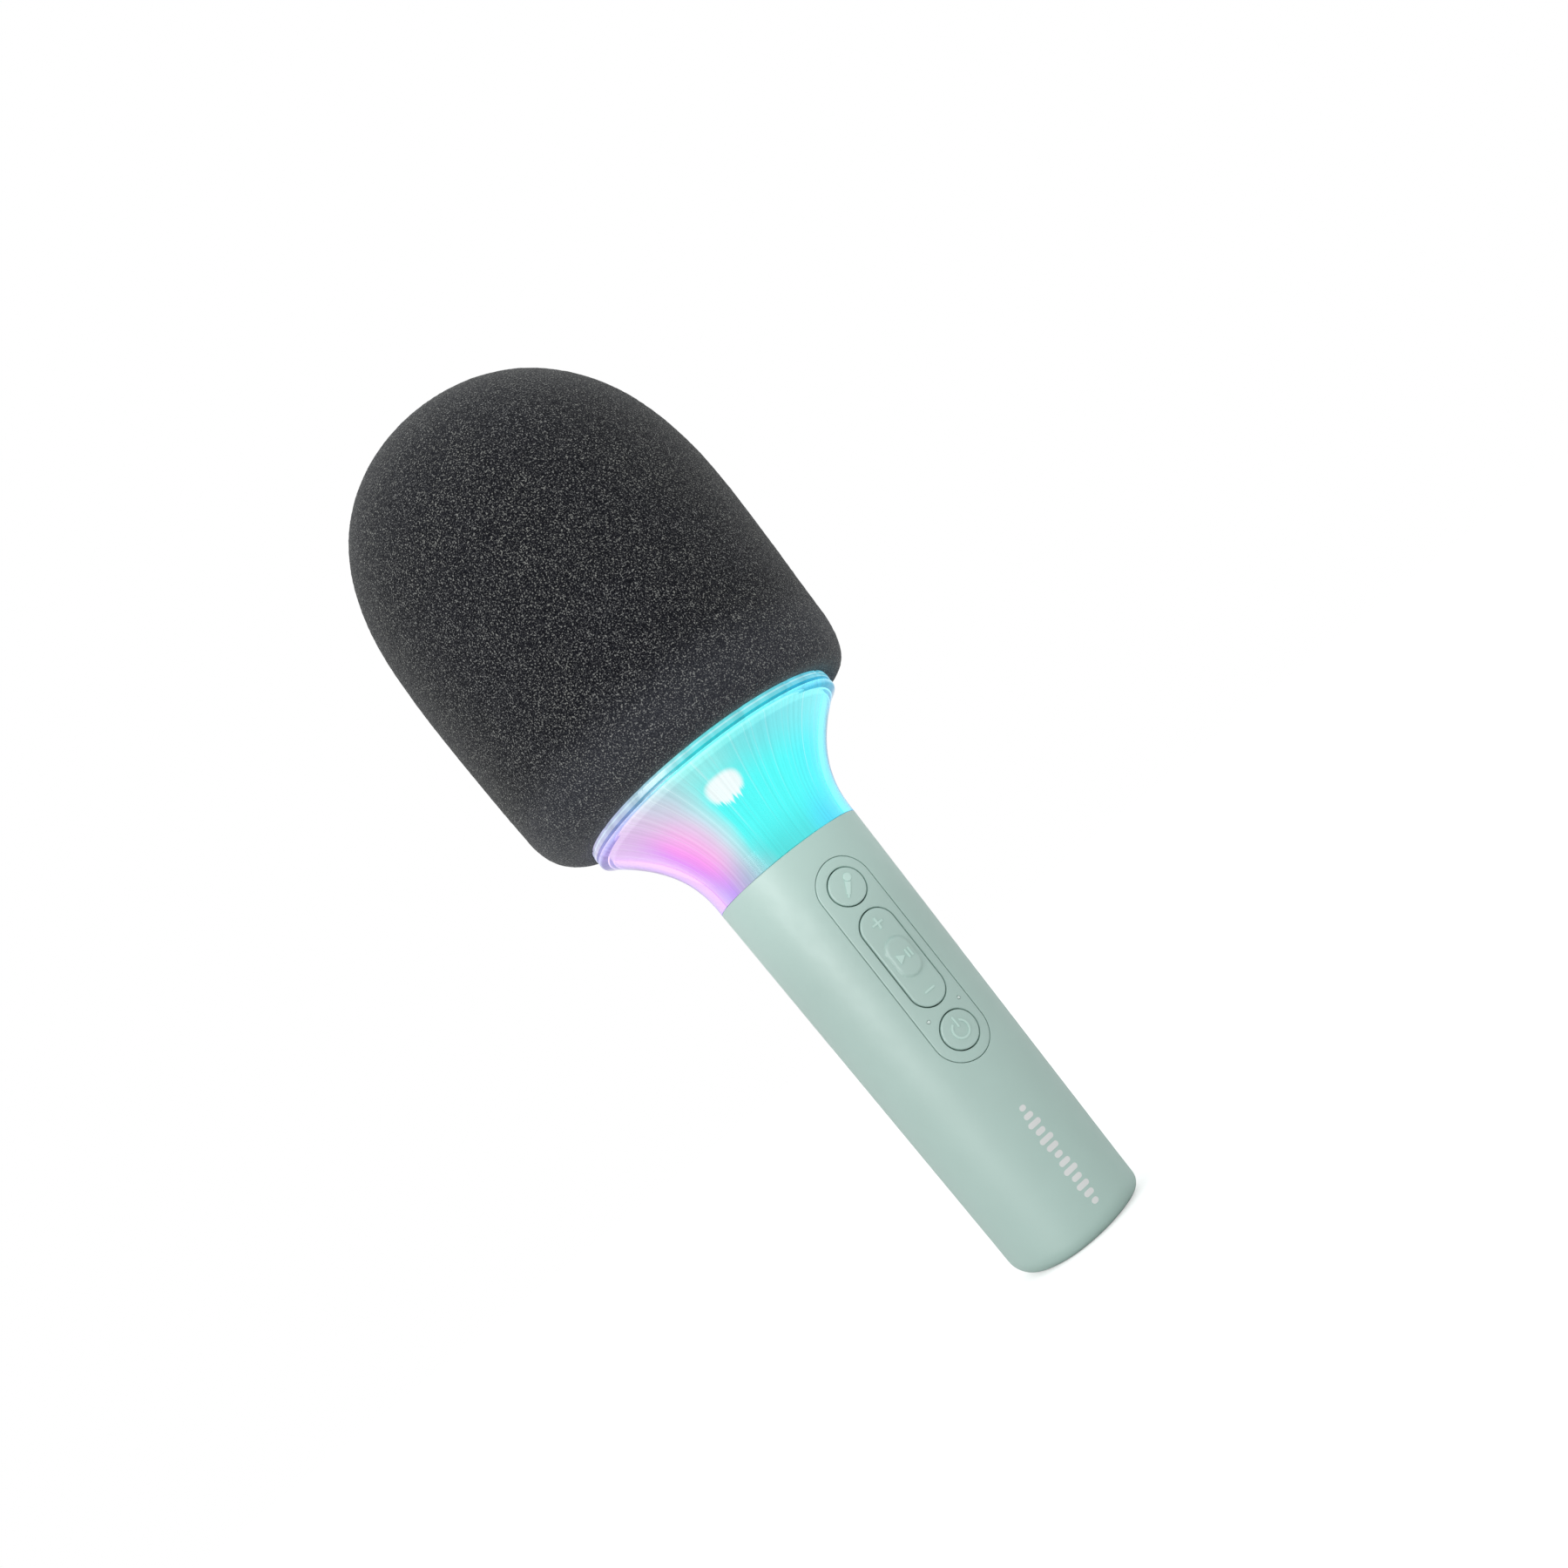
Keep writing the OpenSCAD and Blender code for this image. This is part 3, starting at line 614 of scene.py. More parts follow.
def core_spot(tree, across, up, streak):
    """The hot spot over one light: an oval 4.3 x 2.75 mm in half-widths, with a ragged lower edge."""
    turn, height, core_r = -22.6 / 360, 122.3, 24.5
    side = times(tree, calc(tree, "SUBTRACT", across, turn), TURN * core_r / 4.3)
    rise = times(tree, calc(tree, "SUBTRACT", up, height * MM), 1 / (2.75 * MM))
    ragged = times(tree, stretch(tree, streak, -0.3, 0.3, 0.35, 0.65), map_range(tree, rise, -0.2, -0.8, 0, 1))
    rise = calc(tree, "ADD", rise, ragged)
    away = calc(tree, "ADD", calc(tree, "POWER", calc(tree, "ABSOLUTE", side), 2.8),
                     calc(tree, "POWER", calc(tree, "ABSOLUTE", rise), 2.2))
    return map_range(tree, away, 0.5, 1.5, 0.95, 0.0)


def glowing_core(name):
    """The milky diffuser lit from inside, with a hot spot over one light and fine moulded ribs."""
    tree, shader = blank(name)
    across, up = round_the_axis(tree)
    streak = streaks(tree, across, 190.0, 3.0)
    light = blended(tree, core_ribs(tree, across, up, streak), ring_light(tree), (0.88, 0.93, 0.97))
    light = blended(tree, core_spot(tree, across, up, streak), light, (0.97, 0.99, 0.99))
    # The clear wall over the core adds its own glow and its tint, so both are taken out of the core here.
    wall = blended(tree, 1.0, wall_light(tree), (2 * WALL_GLOW,) * 3, "MULTIPLY")
    light = blended(tree, 1.0, light, wall, "SUBTRACT")
    light = blended(tree, 1.0, light, round_ramp(tree, across, RING_TINT), "DIVIDE")
    plug(tree, shader, Base_Color=(0.03, 0.03, 0.035, 1), Roughness=0.6, Specular_IOR_Level=0.2,
         Emission_Color=light, Emission_Strength=stretch(tree, streak, 0.9, 1.0, 0.35, 0.6))


def clear_wall(name):
    """Clear plastic, tinted by the light inside it and faintly glowing, most of all at its lip."""
    tree, shader = blank(name)
    across, up = round_the_axis(tree)
    lip = ((FLARE_TOP - 0.25) * MM, (FLARE_TOP + 0.25) * MM)
    glow = blended(tree, map_range(tree, up, *lip, 0.0, 0.75), wall_light(tree), (0.7, 0.9, 0.75))
    plug(tree, shader, Base_Color=round_ramp(tree, across, RING_TINT), Transmission_Weight=1.0, Roughness=0.04,
         IOR=1.22, Emission_Color=glow, Emission_Strength=map_range(tree, up, *lip, WALL_GLOW, 0.2),
         Normal=bump(tree, noise(tree, place(tree), 4.0, 1.0), 0.01, 0.15))


def lit_rim(name):
    """The rim: glowing clear plastic, darkened with painted shade in its groove, and bright along its upper
    step.
    """
    tree, shader = blank(name)
    across, up = round_the_axis(tree)
    # Painted shade: the rim's colour is painted darker (gamma 2.1) at and below RIM_BASE, fading out over 0.12
    # mm above it.
    groove = map_range(tree, up, RIM_BASE * MM, (RIM_BASE + 0.12) * MM, 2.1, 1.0)
    groove_shaded_colour = node(tree, "Gamma", Color=round_ramp(tree, across, RIM_COLOURS), Gamma=groove)
    line = off(tree, up, (RIM_TOP - 0.82) * MM)
    colour = blended(tree, map_range(tree, line, 0.08 * MM, 0.3 * MM, 0.45, 0.0), groove_shaded_colour, (0.72, 0.95, 0.97))
    strength = stretch(tree, streaks(tree, across, 60.0, 4.0), 0.78, 1.0, 0.35, 0.6)
    plug(tree, shader, Base_Color=blended(tree, 0.85, colour, (0.02, 0.02, 0.02)), Roughness=0.14, IOR=1.46,
         Emission_Color=colour, Emission_Strength=strength,
         Normal=bump(tree, noise(tree, place(tree), 2.0, 2.0), 0.01, 0.3))


def open_cell_foam(name):
    """Charcoal foam: dark pores, paler strands between them, painted light at its ends, and a soft sheen at the
    edge.
    """
    tree, shader = blank(name)
    at = place(tree)
    pores = node(tree, "TexVoronoi", Vector=at, Scale=1 / (0.37 * MM), Randomness=1.0)
    mixed = calc(tree, "ADD", times(tree, pores, 0.3), times(tree, noise(tree, at, 0.3, 1.0, 0.5), 0.9))
    tone = ramp(tree, mixed, [(0.46, (0.002, 0.0024, 0.0045)), (0.59, (0.009, 0.0094, 0.013)),
                              (0.70, (0.040, 0.041, 0.044)), (0.82, (0.24, 0.245, 0.225))])
    tint = ramp(tree, noise(tree, at, 16.0, 2.0), [(0.3, (1.08, 1.08, 1.13)), (0.7, (1.2, 1.2, 1.2))])
    up = node(tree, "SeparateXYZ", output="Z", Vector=at)
    # Painted light: paler near the lit ring at the foot, and towards the top where more light falls from above.
    painted_light_ends = calc(tree, "MAXIMUM",
                      map_range(tree, up, (FOAM_LOW[2] + 5) * MM, (FOAM_LOW[2] + 20) * MM, 1.0, 0.0),
                      map_range(tree, up, (FOAM_HIGH[2] - 45) * MM, (FOAM_HIGH[2] - 8) * MM, 0.0, 0.35))
    tone = blended(tree, painted_light_ends, blended(tree, 1.0, tone, tint, "MULTIPLY"), (0.023, 0.0245, 0.029), "ADD")
    plug(tree, shader, Base_Color=tone, Roughness=0.95, Specular_IOR_Level=0.15, Sheen_Weight=0.22,
         Sheen_Roughness=0.4, Sheen_Tint=(0.8, 0.82, 0.8, 1), Normal=bump(tree, mixed, 0.25, 0.8))


MINT = (0.455, 0.615, 0.565)
for mint_name, brightness in (("mint_shell", 1), ("mint_panel", 1), ("mint_key", 1.01)):
    moulded(mint_name, shade(MINT, brightness), 0.46, 0.18, 0.012, 0.012, ring_glow_painted=True)
moulded("mint_cap", shade(MINT, 0.97), 0.45, 0.18, 0.012, 0.015)
# The marks' mint is painted 1.24 times lighter than the keys: a painted highlight in place of the light on their
# raised edges.
moulded("mint_mark", shade(MINT, 1.24), 0.46, 0.18, 0.01, 0.012, ring_glow_painted=True)
moulded("print_grey", shade(linear("d8dad9"), 1.12), 0.5, 0.3, 0.01, 0.02)
moulded("black_plastic", (0.025, 0.026, 0.028), 0.5, 0.2, 0.02, 0.1)
moulded("white_plastic", (0.7, 0.71, 0.69), 0.45, 0.3, 0.02, 0.03)
moulded("dark_plastic", (0.03, 0.031, 0.033), 0.5, 0.3, 0.03, 0.1)
moulded("cage_plastic", (0.028, 0.029, 0.031), 0.45, 0.35, 0.03, 0.08)
moulded("dark_metal", (0.035, 0.037, 0.04), 0.38, 0.25, 0.02, 0.1, metallic=0.7)
moulded("cell_wrap", (0.05, 0.16, 0.36), 0.3, 0.8, 0.03, 0.06, coat=0.5)
moulded("red_lead", (0.42, 0.02, 0.018), 0.35, 0.3, 0.02, 0.06, 3.0)
moulded("grey_lead", (0.05, 0.052, 0.055), 0.4, 0.3, 0.02, 0.08, 3.0)
moulded("light_chip", (0.85, 0.8, 0.5), 0.25, 0.2, 0.01, 0.06, 1.0, coat=0.6)
moulded("clear_pipe", (0.66, 0.78, 0.74), 0.2, 0.2, 0.01, 0.03, 1.0, coat=0.5)
moulded("surround_rubber", (0.018, 0.018, 0.019), 0.6, 0.3, 0.03, 0.12, 4.0)
moulded("boot_rubber", (0.012, 0.012, 0.013), 0.7, 0.3, 0.03, 0.12)
moulded("cone_paper", (0.035, 0.036, 0.038), 0.85, 0.5, 0.09, 0.25, 1.2)
moulded("ferrite", (0.028, 0.029, 0.031), 0.55, 0.5, 0.05, 0.15)
turned_metal("steel_screw", (0.5, 0.51, 0.52))
turned_metal("steel_pin", (0.55, 0.56, 0.57), 0.25, (30, 1, 1))
turned_metal("zinc_steel", (0.55, 0.56, 0.57), 0.35)
turned_metal("socket_shell", (0.62, 0.63, 0.64), 0.25)
turned_metal("capsule_metal", (0.6, 0.61, 0.62), 0.28)
turned_metal("nickel", (0.6, 0.57, 0.5), 0.3, (1, 30, 1))
turned_metal("copper_coil", (0.62, 0.26, 0.12), 0.35, (1, 1, 60))
circuit_board("green_board", (0.012, 0.11, 0.05), (0.03, 0.2, 0.09))
circuit_board("white_board", (0.72, 0.73, 0.71), (0.6, 0.61, 0.6))
punched_mesh("mesh_metal", (0.12, 0.124, 0.13))
glowing_core("ring_white")
clear_wall("ring_clear")
lit_rim("rim_clear")
open_cell_foam("foam")


def finish_cad_nodes():
    """Every CAD node takes its slot's material."""
    slots = {part["node"]: part["material_slot"] for part in frame["record"]["subparts"]}
    for name, obj in frame["nodes"].items():
        obj.data.materials.clear()
        obj.data.materials.append(MATERIALS[slots[name]])


# ---------------- handle

def handle_sheet(grow, z0, z1, hole, columns=144, rho=18.0, cell=2.4):
    """A wrapped sheet on the handle's taper with a hole cut in its key side. It is unrolled at radius rho to be
    filled. Returns its points, its triangles, and the loops round the hole, the top and the bottom."""
    half = pi * rho
    xs = [-half + 2 * half * k / columns for k in range(columns + 1)]
    sides = max(2, round((z1 - z0) / cell))
    zs = [z0 + (z1 - z0) * k / sides for k in range(sides + 1)]
    outline = [(x, z0) for x in xs] + [(half, z) for z in zs[1:]]
    outline += [(x, z1) for x in reversed(xs[:-1])] + [(-half, z) for z in reversed(zs[1:-1])]

    def unroll(ring):
        return [(asin(x / (handle_r(z) + grow)) * rho, z) for x, z in ring]

    cut = unroll(hole)
    flat, faces = fill(outline, [cut], cell)
    first = {}
    verts, index = [], []
    for x, z in flat:
        turn = -half if abs(x - half) < 1e-6 else x
        key = (round(turn, 6), round(z, 6))
        if key not in first:
            first[key] = len(verts)
            verts.append(round_point(handle_r(z) + grow, turn / rho, z))
        index.append(first[key])
    faces = [tuple(index[i] for i in f) for f in faces]
    start = len(outline)
    rim = index[start:start + len(cut)]
    bottom = index[:columns]
    top = [first[(round(x, 6), round(z1, 6))] for x in xs[:-1]]
    return verts, faces, rim, top, bottom


# The radius of the foot's rounded edge, in millimetres, at degrees from the key side, positive towards +X.
FOOT_ROUNDING = {
    -180: 3.7, -111: 5.4, -60: 4.0, -38: 3.0, -10: 3.6, 20: 4.6, 45: 4.2, 70: 3.2, 120: 3.0, 180: 3.7
}


def make_handle():
    """The mint tube: rounded foot edge, hole for the key panel, and a bore."""
    fillet, top_edge, cap_edge = 0.16, 0.25, 0.25
    inner_top_z = HANDLE_TOP - 5

    def ring(inset):
        return oval(0.0, PANEL_Z, PANEL_HOLE_R + inset, 0.0, PANEL_HALF, step=1.0)

    foot_z = max(FOOT_ROUNDING.values())
    verts, faces, rim, top, bottom = handle_sheet(0.0, foot_z, HANDLE_TOP - top_edge, ring(fillet))
    for inset, drop in rounding(fillet, 4):
        (rim,) = stitch(verts, faces, [rim], [[(x, y + drop, z) for x, y, z in laid(ring(inset), 0)]])

    inner, inner_faces, inner_rim, inner_top, inner_bottom = handle_sheet(
        -HANDLE_WALL, HANDLE_WALL, inner_top_z, ring(0), cell=4.0)
    start = len(verts)
    verts, faces = merged([(verts, faces), (inner, inner_faces)])
    faces += bridge(rim, [i + start for i in inner_rim])

    columns = len(top)
    angles = [-pi + TURN * k / columns for k in range(columns)]

    def row(r, z):
        return [[round_point(r, a, z) for a in angles]]

    edge_r = handle_r(HANDLE_TOP) - top_edge
    for r, z in corner(edge_r, HANDLE_TOP - top_edge, top_edge, 0, 90, 3)[1:]:
        (top,) = stitch(verts, faces, [top], row(r, z))
    (top,) = stitch(verts, faces, [top], row(handle_r(inner_top_z) - HANDLE_WALL, HANDLE_TOP))
    faces += bridge(top, [i + start for i in inner_top])

    edges = np.interp(np.degrees(angles), list(FOOT_ROUNDING), list(FOOT_ROUNDING.values()))
    edges = sum(np.roll(edges, k) for k in range(-5, 6)) / 11  # smoothed over its neighbours
    for t in [0.0] + quarter_turn(12):
        points = [round_point(handle_r(edge) - edge * (1 - cos(t)), a, edge * (1 - sin(t)))
                  for a, edge in zip(angles, edges)]
        (bottom,) = stitch(verts, faces, [bottom], [points])
    for r, z in corner(CAP_HOLE_R + cap_edge, cap_edge, cap_edge, 270, 180, 3) + [(CAP_HOLE_R, HANDLE_WALL)]:
        (bottom,) = stitch(verts, faces, [bottom], row(r, z))
    faces += bridge(bottom, [i + start for i in inner_bottom])
    piece("handle_tube", verts, faces, "body", "mint_shell", "handle_shell")


def make_panel():
    """The inlaid key panel with its key holes and two status windows."""
    dot_x, dot_z, dot_r = 4.5, 56.3, 0.36  # the holes that the light pipes come through
    holes = [(0, VOICE_Z, HOLE_R, 0, 0), (0, POWER_Z, HOLE_R, 0, 0), (0, ROCKER_Z, HOLE_R, 0, ROCKER_HALF),
             (-dot_x, dot_z, dot_r, 0, 0), (dot_x, dot_z, dot_r, 0, 0)]
    outline = (0, PANEL_Z, PANEL_R, 0, PANEL_HALF)
    verts, faces = plate(outline, holes, fillet=0.26, cell=0.9, back=PANEL_BACK)
    piece("panel_inlay", verts, faces, "body", "mint_panel", "key_panel")
    dots = [plate((s * dot_x, dot_z, dot_r - 0.02, 0, 0), lift=0.15, fillet=0.1, cell=0.2, back=PANEL_BACK - 0.4)
            for s in (-1, 1)]
    piece("status_windows", *merged(dots), "body", "clear_pipe", "light_pipes")


MARK_H = 0.2  # the marks stand out of their key by this much
MARK_SUNK = 0.15  # and reach into it by this much
MARK_CELL = 0.25


def oval_mark(shape, lift, top):
    """A mark that is a circle or a slot."""
    return plate(shape, lift=top, fillet=0.07, steps=2, cell=MARK_CELL, sunk=MARK_SUNK - lift)


def make_marks(name, shapes, body, lift):
    """Low raised marks on a key. Each shape is a tuple for oval() or a closed list of (x, z)."""
    parts = []
    for k, shape in enumerate(shapes):
        top = lift + MARK_H + 0.004 * k
        if isinstance(shape, tuple):
            parts.append(oval_mark(shape, lift, top))
        else:
            parts.append(raised(shape, top, lift - MARK_SUNK))
    piece(name, *merged(parts), body, "mint_key", material="mint_mark")


def raised(outline, top, under):
    """A mark with any outline, its edges drawn in a little at the top."""
    middle = np.mean(outline, axis=0)
    ring = refine(outline, MARK_CELL)
    drawn = [(middle[0] + (x - middle[0]) * 0.93, middle[1] + (z - middle[1]) * 0.93) for x, z in ring]
    flat, faces = fill(drawn, [], MARK_CELL)
    verts = laid(flat, top)
    loop = list(range(len(ring)))
    for lift in (top - 0.06, under):
        (loop,) = stitch(verts, faces, [loop], [laid(ring, lift)])
    faces.append(tuple(loop))
    return verts, faces


def turned(points, degrees, cx, cz):
    """Points turned clockwise about the origin and moved to (cx, cz)."""
    c, s = cos(radians(degrees)), sin(radians(degrees))
    return [(cx + x * c + z * s, cz - x * s + z * c) for x, z in points]


STEM_R = 1.4
STEM_END = -12.2  # where a key's stem meets its switch


def make_round_key(name, z, body, node_name):
    """A round key with a soft edge, its flange behind the panel and its stem."""
    cap = plate((0, z, KEY_R, 0, 0), lift=KEY_LIFT, fillet=0.36, steps=5, cell=0.5, back=PANEL_BACK + 0.2)
    flange = drum(FLANGE_R, z, PANEL_BACK + 0.1, PANEL_BACK + 0.8)
    stem = drum(STEM_R, z, PANEL_BACK + 0.5, STEM_END)
    piece(name, *merged([cap, flange, stem]), body, "mint_key", node_name)


def drum(r, z, y0, y1):
    """A short round bar along Y with broken edges."""
    edge = 0.1
    rows = [(r - edge, y0), (r, y0 + edge), (r, y1 - edge), (r - edge, y1)]
    count = 64
    verts = [(rr * cos(a), y, z + rr * sin(a)) for rr, y in rows for a in even_angles(count)]
    return verts, row_faces(4, count) + [tuple(range(count)), tuple(range(3 * count, 4 * count))]


BOSS_R = 3.05
BOSS_H = 0.7
BOSS_HALF = 1.75


def boss(x, z):
    """Height of the soft raised oval in the rocker's middle above the key's face."""
    away = hypot(x, max(0.0, abs(z - ROCKER_Z) - BOSS_HALF))
    t = min(1.0, max(0.0, (BOSS_R - away) / 0.75))
    return BOSS_H * sqrt(1 - (1 - t) ** 2)


def make_rocker():
    """The rocker key with its raised oval, hinge hub and two stems."""
    body = plate((0, ROCKER_Z, ROCKER_R, 0, ROCKER_HALF), lift=KEY_LIFT, fillet=0.36, steps=5, cell=0.22,
                 back=PANEL_BACK - 0.3, relief=boss)
    stems = [drum(STEM_R, ROCKER_Z + s * STEP_Z, PANEL_BACK - 0.4, STEM_END) for s in (-1, 1)]
    hub_x, hub_r, pin_r, pivot_y = 2.3, 1.2, 0.65, -14.0
    rows = [(pin_r, -hub_x), (hub_r, -hub_x), (hub_r, hub_x), (pin_r, hub_x)]
    turns = even_angles(48)
    hub = ([(x, pivot_y + r * cos(a), ROCKER_Z + r * sin(a)) for r, x in rows for a in turns],
           row_faces(len(rows), len(turns), closed=True))
    neck = box_shape((-hub_x, PANEL_BACK - 0.4, ROCKER_Z - 1), (hub_x, pivot_y - 0.9, ROCKER_Z + 1))
    piece("rocker_cap", *merged([body, *stems, hub, neck]), "rocker", "mint_key", "rocker_key")


def box_shape(a, b):
    """A box between two corners."""
    verts = [(x, y, z) for x in (a[0], b[0]) for y in (a[1], b[1]) for z in (a[2], b[2])]
    return verts, [(0, 1, 3, 2), (4, 6, 7, 5), (0, 4, 5, 1), (2, 3, 7, 6), (0, 2, 6, 4), (1, 5, 7, 3)]


def make_key_marks():
    """Microphone, +, play and pause, - and power marks."""
    head = oval(0, 2.0, 0.95, 0, 0, count=40)
    grip = [(-0.66, 1.0), (0.66, 1.0), (0.42, -1.9), (-0.42, -1.9)]
    tail = [(-0.2, -1.85), (0.2, -1.85), (0.2, -2.7), (-0.2, -2.7)]
    make_marks("voice_mark", [turned(s, 35, 0, VOICE_Z) for s in (head, grip, tail)], "voice_button", KEY_LIFT)

    half, arm = 0.25, 1.4
    up, down = ROCKER_Z + STEP_Z, ROCKER_Z - STEP_Z
    quarter, plus = [(half, half), (arm, half), (arm, -half)], []
    for _ in range(4):
        plus += quarter
        quarter = [(z, -x) for x, z in quarter]
    make_marks("plus_mark", [[(x, z + up) for x, z in plus]], "rocker", KEY_LIFT)
    make_marks("minus_mark", [(0, down, half, arm - half, 0)], "rocker", KEY_LIFT)
    play = [(-1.75, ROCKER_Z + 1.15), (-1.75, ROCKER_Z - 1.15), (0.2, ROCKER_Z)]
    bars = [(x, ROCKER_Z, 0.23, 0, 0.85) for x in (0.85, 1.7)]
    make_marks("play_mark", [play] + bars, "rocker", KEY_LIFT + BOSS_H)

    ring_r, ring_w = 1.95, 0.225
    gap = radians(27)
    sweep = [gap + (TURN - 2 * gap) * k / 48 for k in range(49)]
    walk = [(ring_r + ring_w, a) for a in sweep] + [(ring_r - ring_w, a) for a in reversed(sweep)]
    arc = [(r * sin(a), r * cos(a) + POWER_Z) for r, a in walk]
    top = KEY_LIFT + MARK_H
    parts = [band(arc, top, KEY_LIFT - MARK_SUNK),
             oval_mark((0, POWER_Z + 1.8, 0.22, 0, 1.08), KEY_LIFT, top + 0.005)]
    piece("power_mark", *merged(parts), "power_button", "mint_key", material="mint_mark")


def band(ring, top, under):
    """A mark with a hollow outline, its walls straight."""
    flat, front = fill(ring, [], MARK_CELL)
    verts = laid(flat, top)
    faces = list(front)
    (back,) = stitch(verts, faces, [list(range(len(ring)))], [laid(ring, under)])
    back += range(len(verts), len(verts) + len(flat) - len(ring))
    verts += laid(flat[len(ring):], under)
    faces += [tuple(back[i] for i in f) for f in front]
    return verts, faces


def make_level_bars():
    """A plain printed row of sound-level bars low on the handle."""
    heights = [1.7, 2.5, 3.3, 2.6, 3.7, 2.9, 2.0, 3.1, 3.7, 2.5, 3.4, 2.4, 1.6]
    first, last = 6.4, 30.2
    step = (last - first) / (len(heights) - 1)
    r = 0.62
    bars = [plate((0, first + k * step, r, height / 2 - r, 0), lift=0.03, fillet=0.01, steps=1, cell=0.5,
                  sunk=0.08) for k, height in enumerate(heights)]
    piece("level_bars", *merged(bars), "body", "mint_shell", material="print_grey")


# ---------------- lit ring

def inside_flare(z, depth):
    """The point depth inside the flare's outer surface, square to it at height z."""
    slope = (flare_r(z + 0.01) - flare_r(z)) / 0.01
    size = hypot(1, slope)
    return flare_r(z) - depth / size, z + depth * slope / size


def make_ring():
    """The clear flare, the milky core behind it, and the notched rim on top."""
    foot = HANDLE_TOP + 0.03
    steps = 30
    heights = [foot + (FLARE_TOP - foot) * k / steps for k in range(steps + 1)]
    outer = [(flare_r(z), z) for z in heights[:-1]]
    under, edge = 1.1, 0.15  # the lip's roundings below and above
    outer += corner(LIP_R - under, FLARE_TOP + 0.6, under, -55, 0, 6)
    outer += corner(LIP_R - edge, LIP_TOP - edge, edge, 0, 90, 3)
    inner = [inside_flare(z, LENS_WALL) for z in reversed(heights)]
    inner = [(r, z) for r, z in inner if z < LIP_TOP - 0.3]
    profile = outer + [(inner[0][0] + 0.2, LIP_TOP)] + inner[:-1] + [(NECK_R - LENS_WALL, foot)]
    verts, faces = lathe(profile, even_angles(360))
    piece("flare_lens", verts, faces, "body", "ring_clear", "ring_lens", 60)

    gap, core_wall = 0.3, 0.9
    front = [inside_flare(z, LENS_WALL + gap) for z in heights]
    core = [(NECK_R - LENS_WALL - gap, HANDLE_TOP + gap)]
    core += [(r, z) for r, z in front if foot + 1 < z < LIP_TOP - 0.1]
    core += [(core[-1][0] + 0.3, LIP_TOP - 0.05)]
    back = [(r - core_wall, z + 0.3) for r, z in reversed(core[:-2])]
    verts, faces = lathe(core + back, even_angles(240))
    piece("flare_core", verts, faces, "body", "ring_white", "ring_diffuser", 60)

    make_rim()


def make_rim():
    """The rim above the groove, which has painted shade, with small notches in its top edge."""
    notches = 15
    half = 0.7 / RIM_R  # half of a notch, in radians
    side = 0.012
    pitch = TURN / notches
    between = [half + side + (pitch - 2 * half - 2 * side) * k / 14 for k in range(15)]
    angles = [n * pitch + a for n in range(notches) for a in [-half, half] + between]
    inner_r, groove_r, step_r, notch_r = 31.0, LIP_R - 0.9, LIP_R - 0.12, LIP_R - 0.5
    edge = 0.22
    profile = [(inner_r, LIP_TOP), (groove_r, LIP_TOP), (groove_r, RIM_BASE)]
    profile += corner(LIP_R - edge, RIM_BASE + edge, edge, -90, 0, 3)
    profile += [(LIP_R, RIM_TOP - 0.95), (step_r, RIM_TOP - 0.83)]
    notch_row = len(profile)
    profile += [(step_r, RIM_TOP - 0.8)] + corner(step_r - edge, RIM_TOP - edge, edge, 0, 90, 3)
    profile += [(inner_r, RIM_TOP)]
    last = len(profile) - 1

    def notched(r, a, k):
        turn = (a + pitch / 2) % pitch - pitch / 2
        notch = notch_row <= k < last and abs(turn) <= half + 1e-6
        return min(r, notch_r) if notch else r

    verts, faces = lathe(profile, angles, shape=notched)
    piece("notched_rim", verts, faces, "body", "rim_clear", "ring_rim", 30)


# ---------------- foam

FOAM_WIDE_Z = 180.3
FOAM_LOW_R = 43.05
FOAM_SEAT_R = RIM_R + 0.9  # the foam's foot is flat inside this radius
FOAM_EDGE_H = 11.6
FOAM_GAP = 0.3
# How far the soft foam leans off its axis, in millimetres, at each height.
FOAM_LEAN = {132: 0.0, 136: 0.5, 150: 0.55, 180: 0.2, 190: 0.15, 212: 0.55, 224: 0.95, 240: 0.95}


def foam_outline():
    """(r, z) points of the foam: over the dome, down the side, and round the lower edge."""
    wide_r, top_z, foot_z = FOAM_HIGH[0], FOAM_HIGH[2] - 0.05, FOAM_LOW[2]
    edge_z = foot_z + FOAM_EDGE_H
    across, up, down = 2 / 2.32, 2 / 2.68, 1.35  # powers that set how full the dome and the side are
    points = []
    for a in quarter_turn(399):
        points.append((wide_r * sin(a) ** across, FOAM_WIDE_Z + (top_z - FOAM_WIDE_Z) * max(0.0, cos(a)) ** up))
    for k in range(1, 101):
        t = k / 100
        points.append((wide_r - (wide_r - FOAM_LOW_R) * t ** down, FOAM_WIDE_Z - (FOAM_WIDE_Z - edge_z) * t))
    for a in quarter_turn(40):
        points.append((FOAM_SEAT_R + (FOAM_LOW_R - FOAM_SEAT_R) * cos(a), edge_z - FOAM_EDGE_H * sin(a)))
    return points


def spaced(points, step):
    """An open outline walked at an even step."""
    p = np.array(points)
    along = np.concatenate([[0], np.cumsum(np.hypot(*np.diff(p, axis=0).T))])
    count = max(2, round(along[-1] / step))
    at = np.linspace(0, along[-1], count + 1)
    return [(float(np.interp(s, along, p[:, 0])), float(np.interp(s, along, p[:, 1]))) for s in at]


def foam_net(rows, rng):
    """Rings of points along (r, z, spacing) rows, each with its own phase: points, outward normals, loops."""
    verts, normals, loops = [], [], []
    for k, (r, z, spacing) in enumerate(rows):
        count = max(6, round(TURN * r / spacing))
        before, after = rows[max(0, k - 1)], rows[min(len(rows) - 1, k + 1)]
        dr, dz = after[0] - before[0], after[1] - before[1]
        length = hypot(dr, dz) or 1.0
        loops.append(list(range(len(verts) + 1, len(verts) + 1 + count)))
        phase = rng.random() / count
        for i in range(count):
            a = TURN * (i / count + phase)
            verts.append(round_point(r, a, z))
            normals.append(round_point(-dz / length, a, dr / length))
    return verts, normals, loops


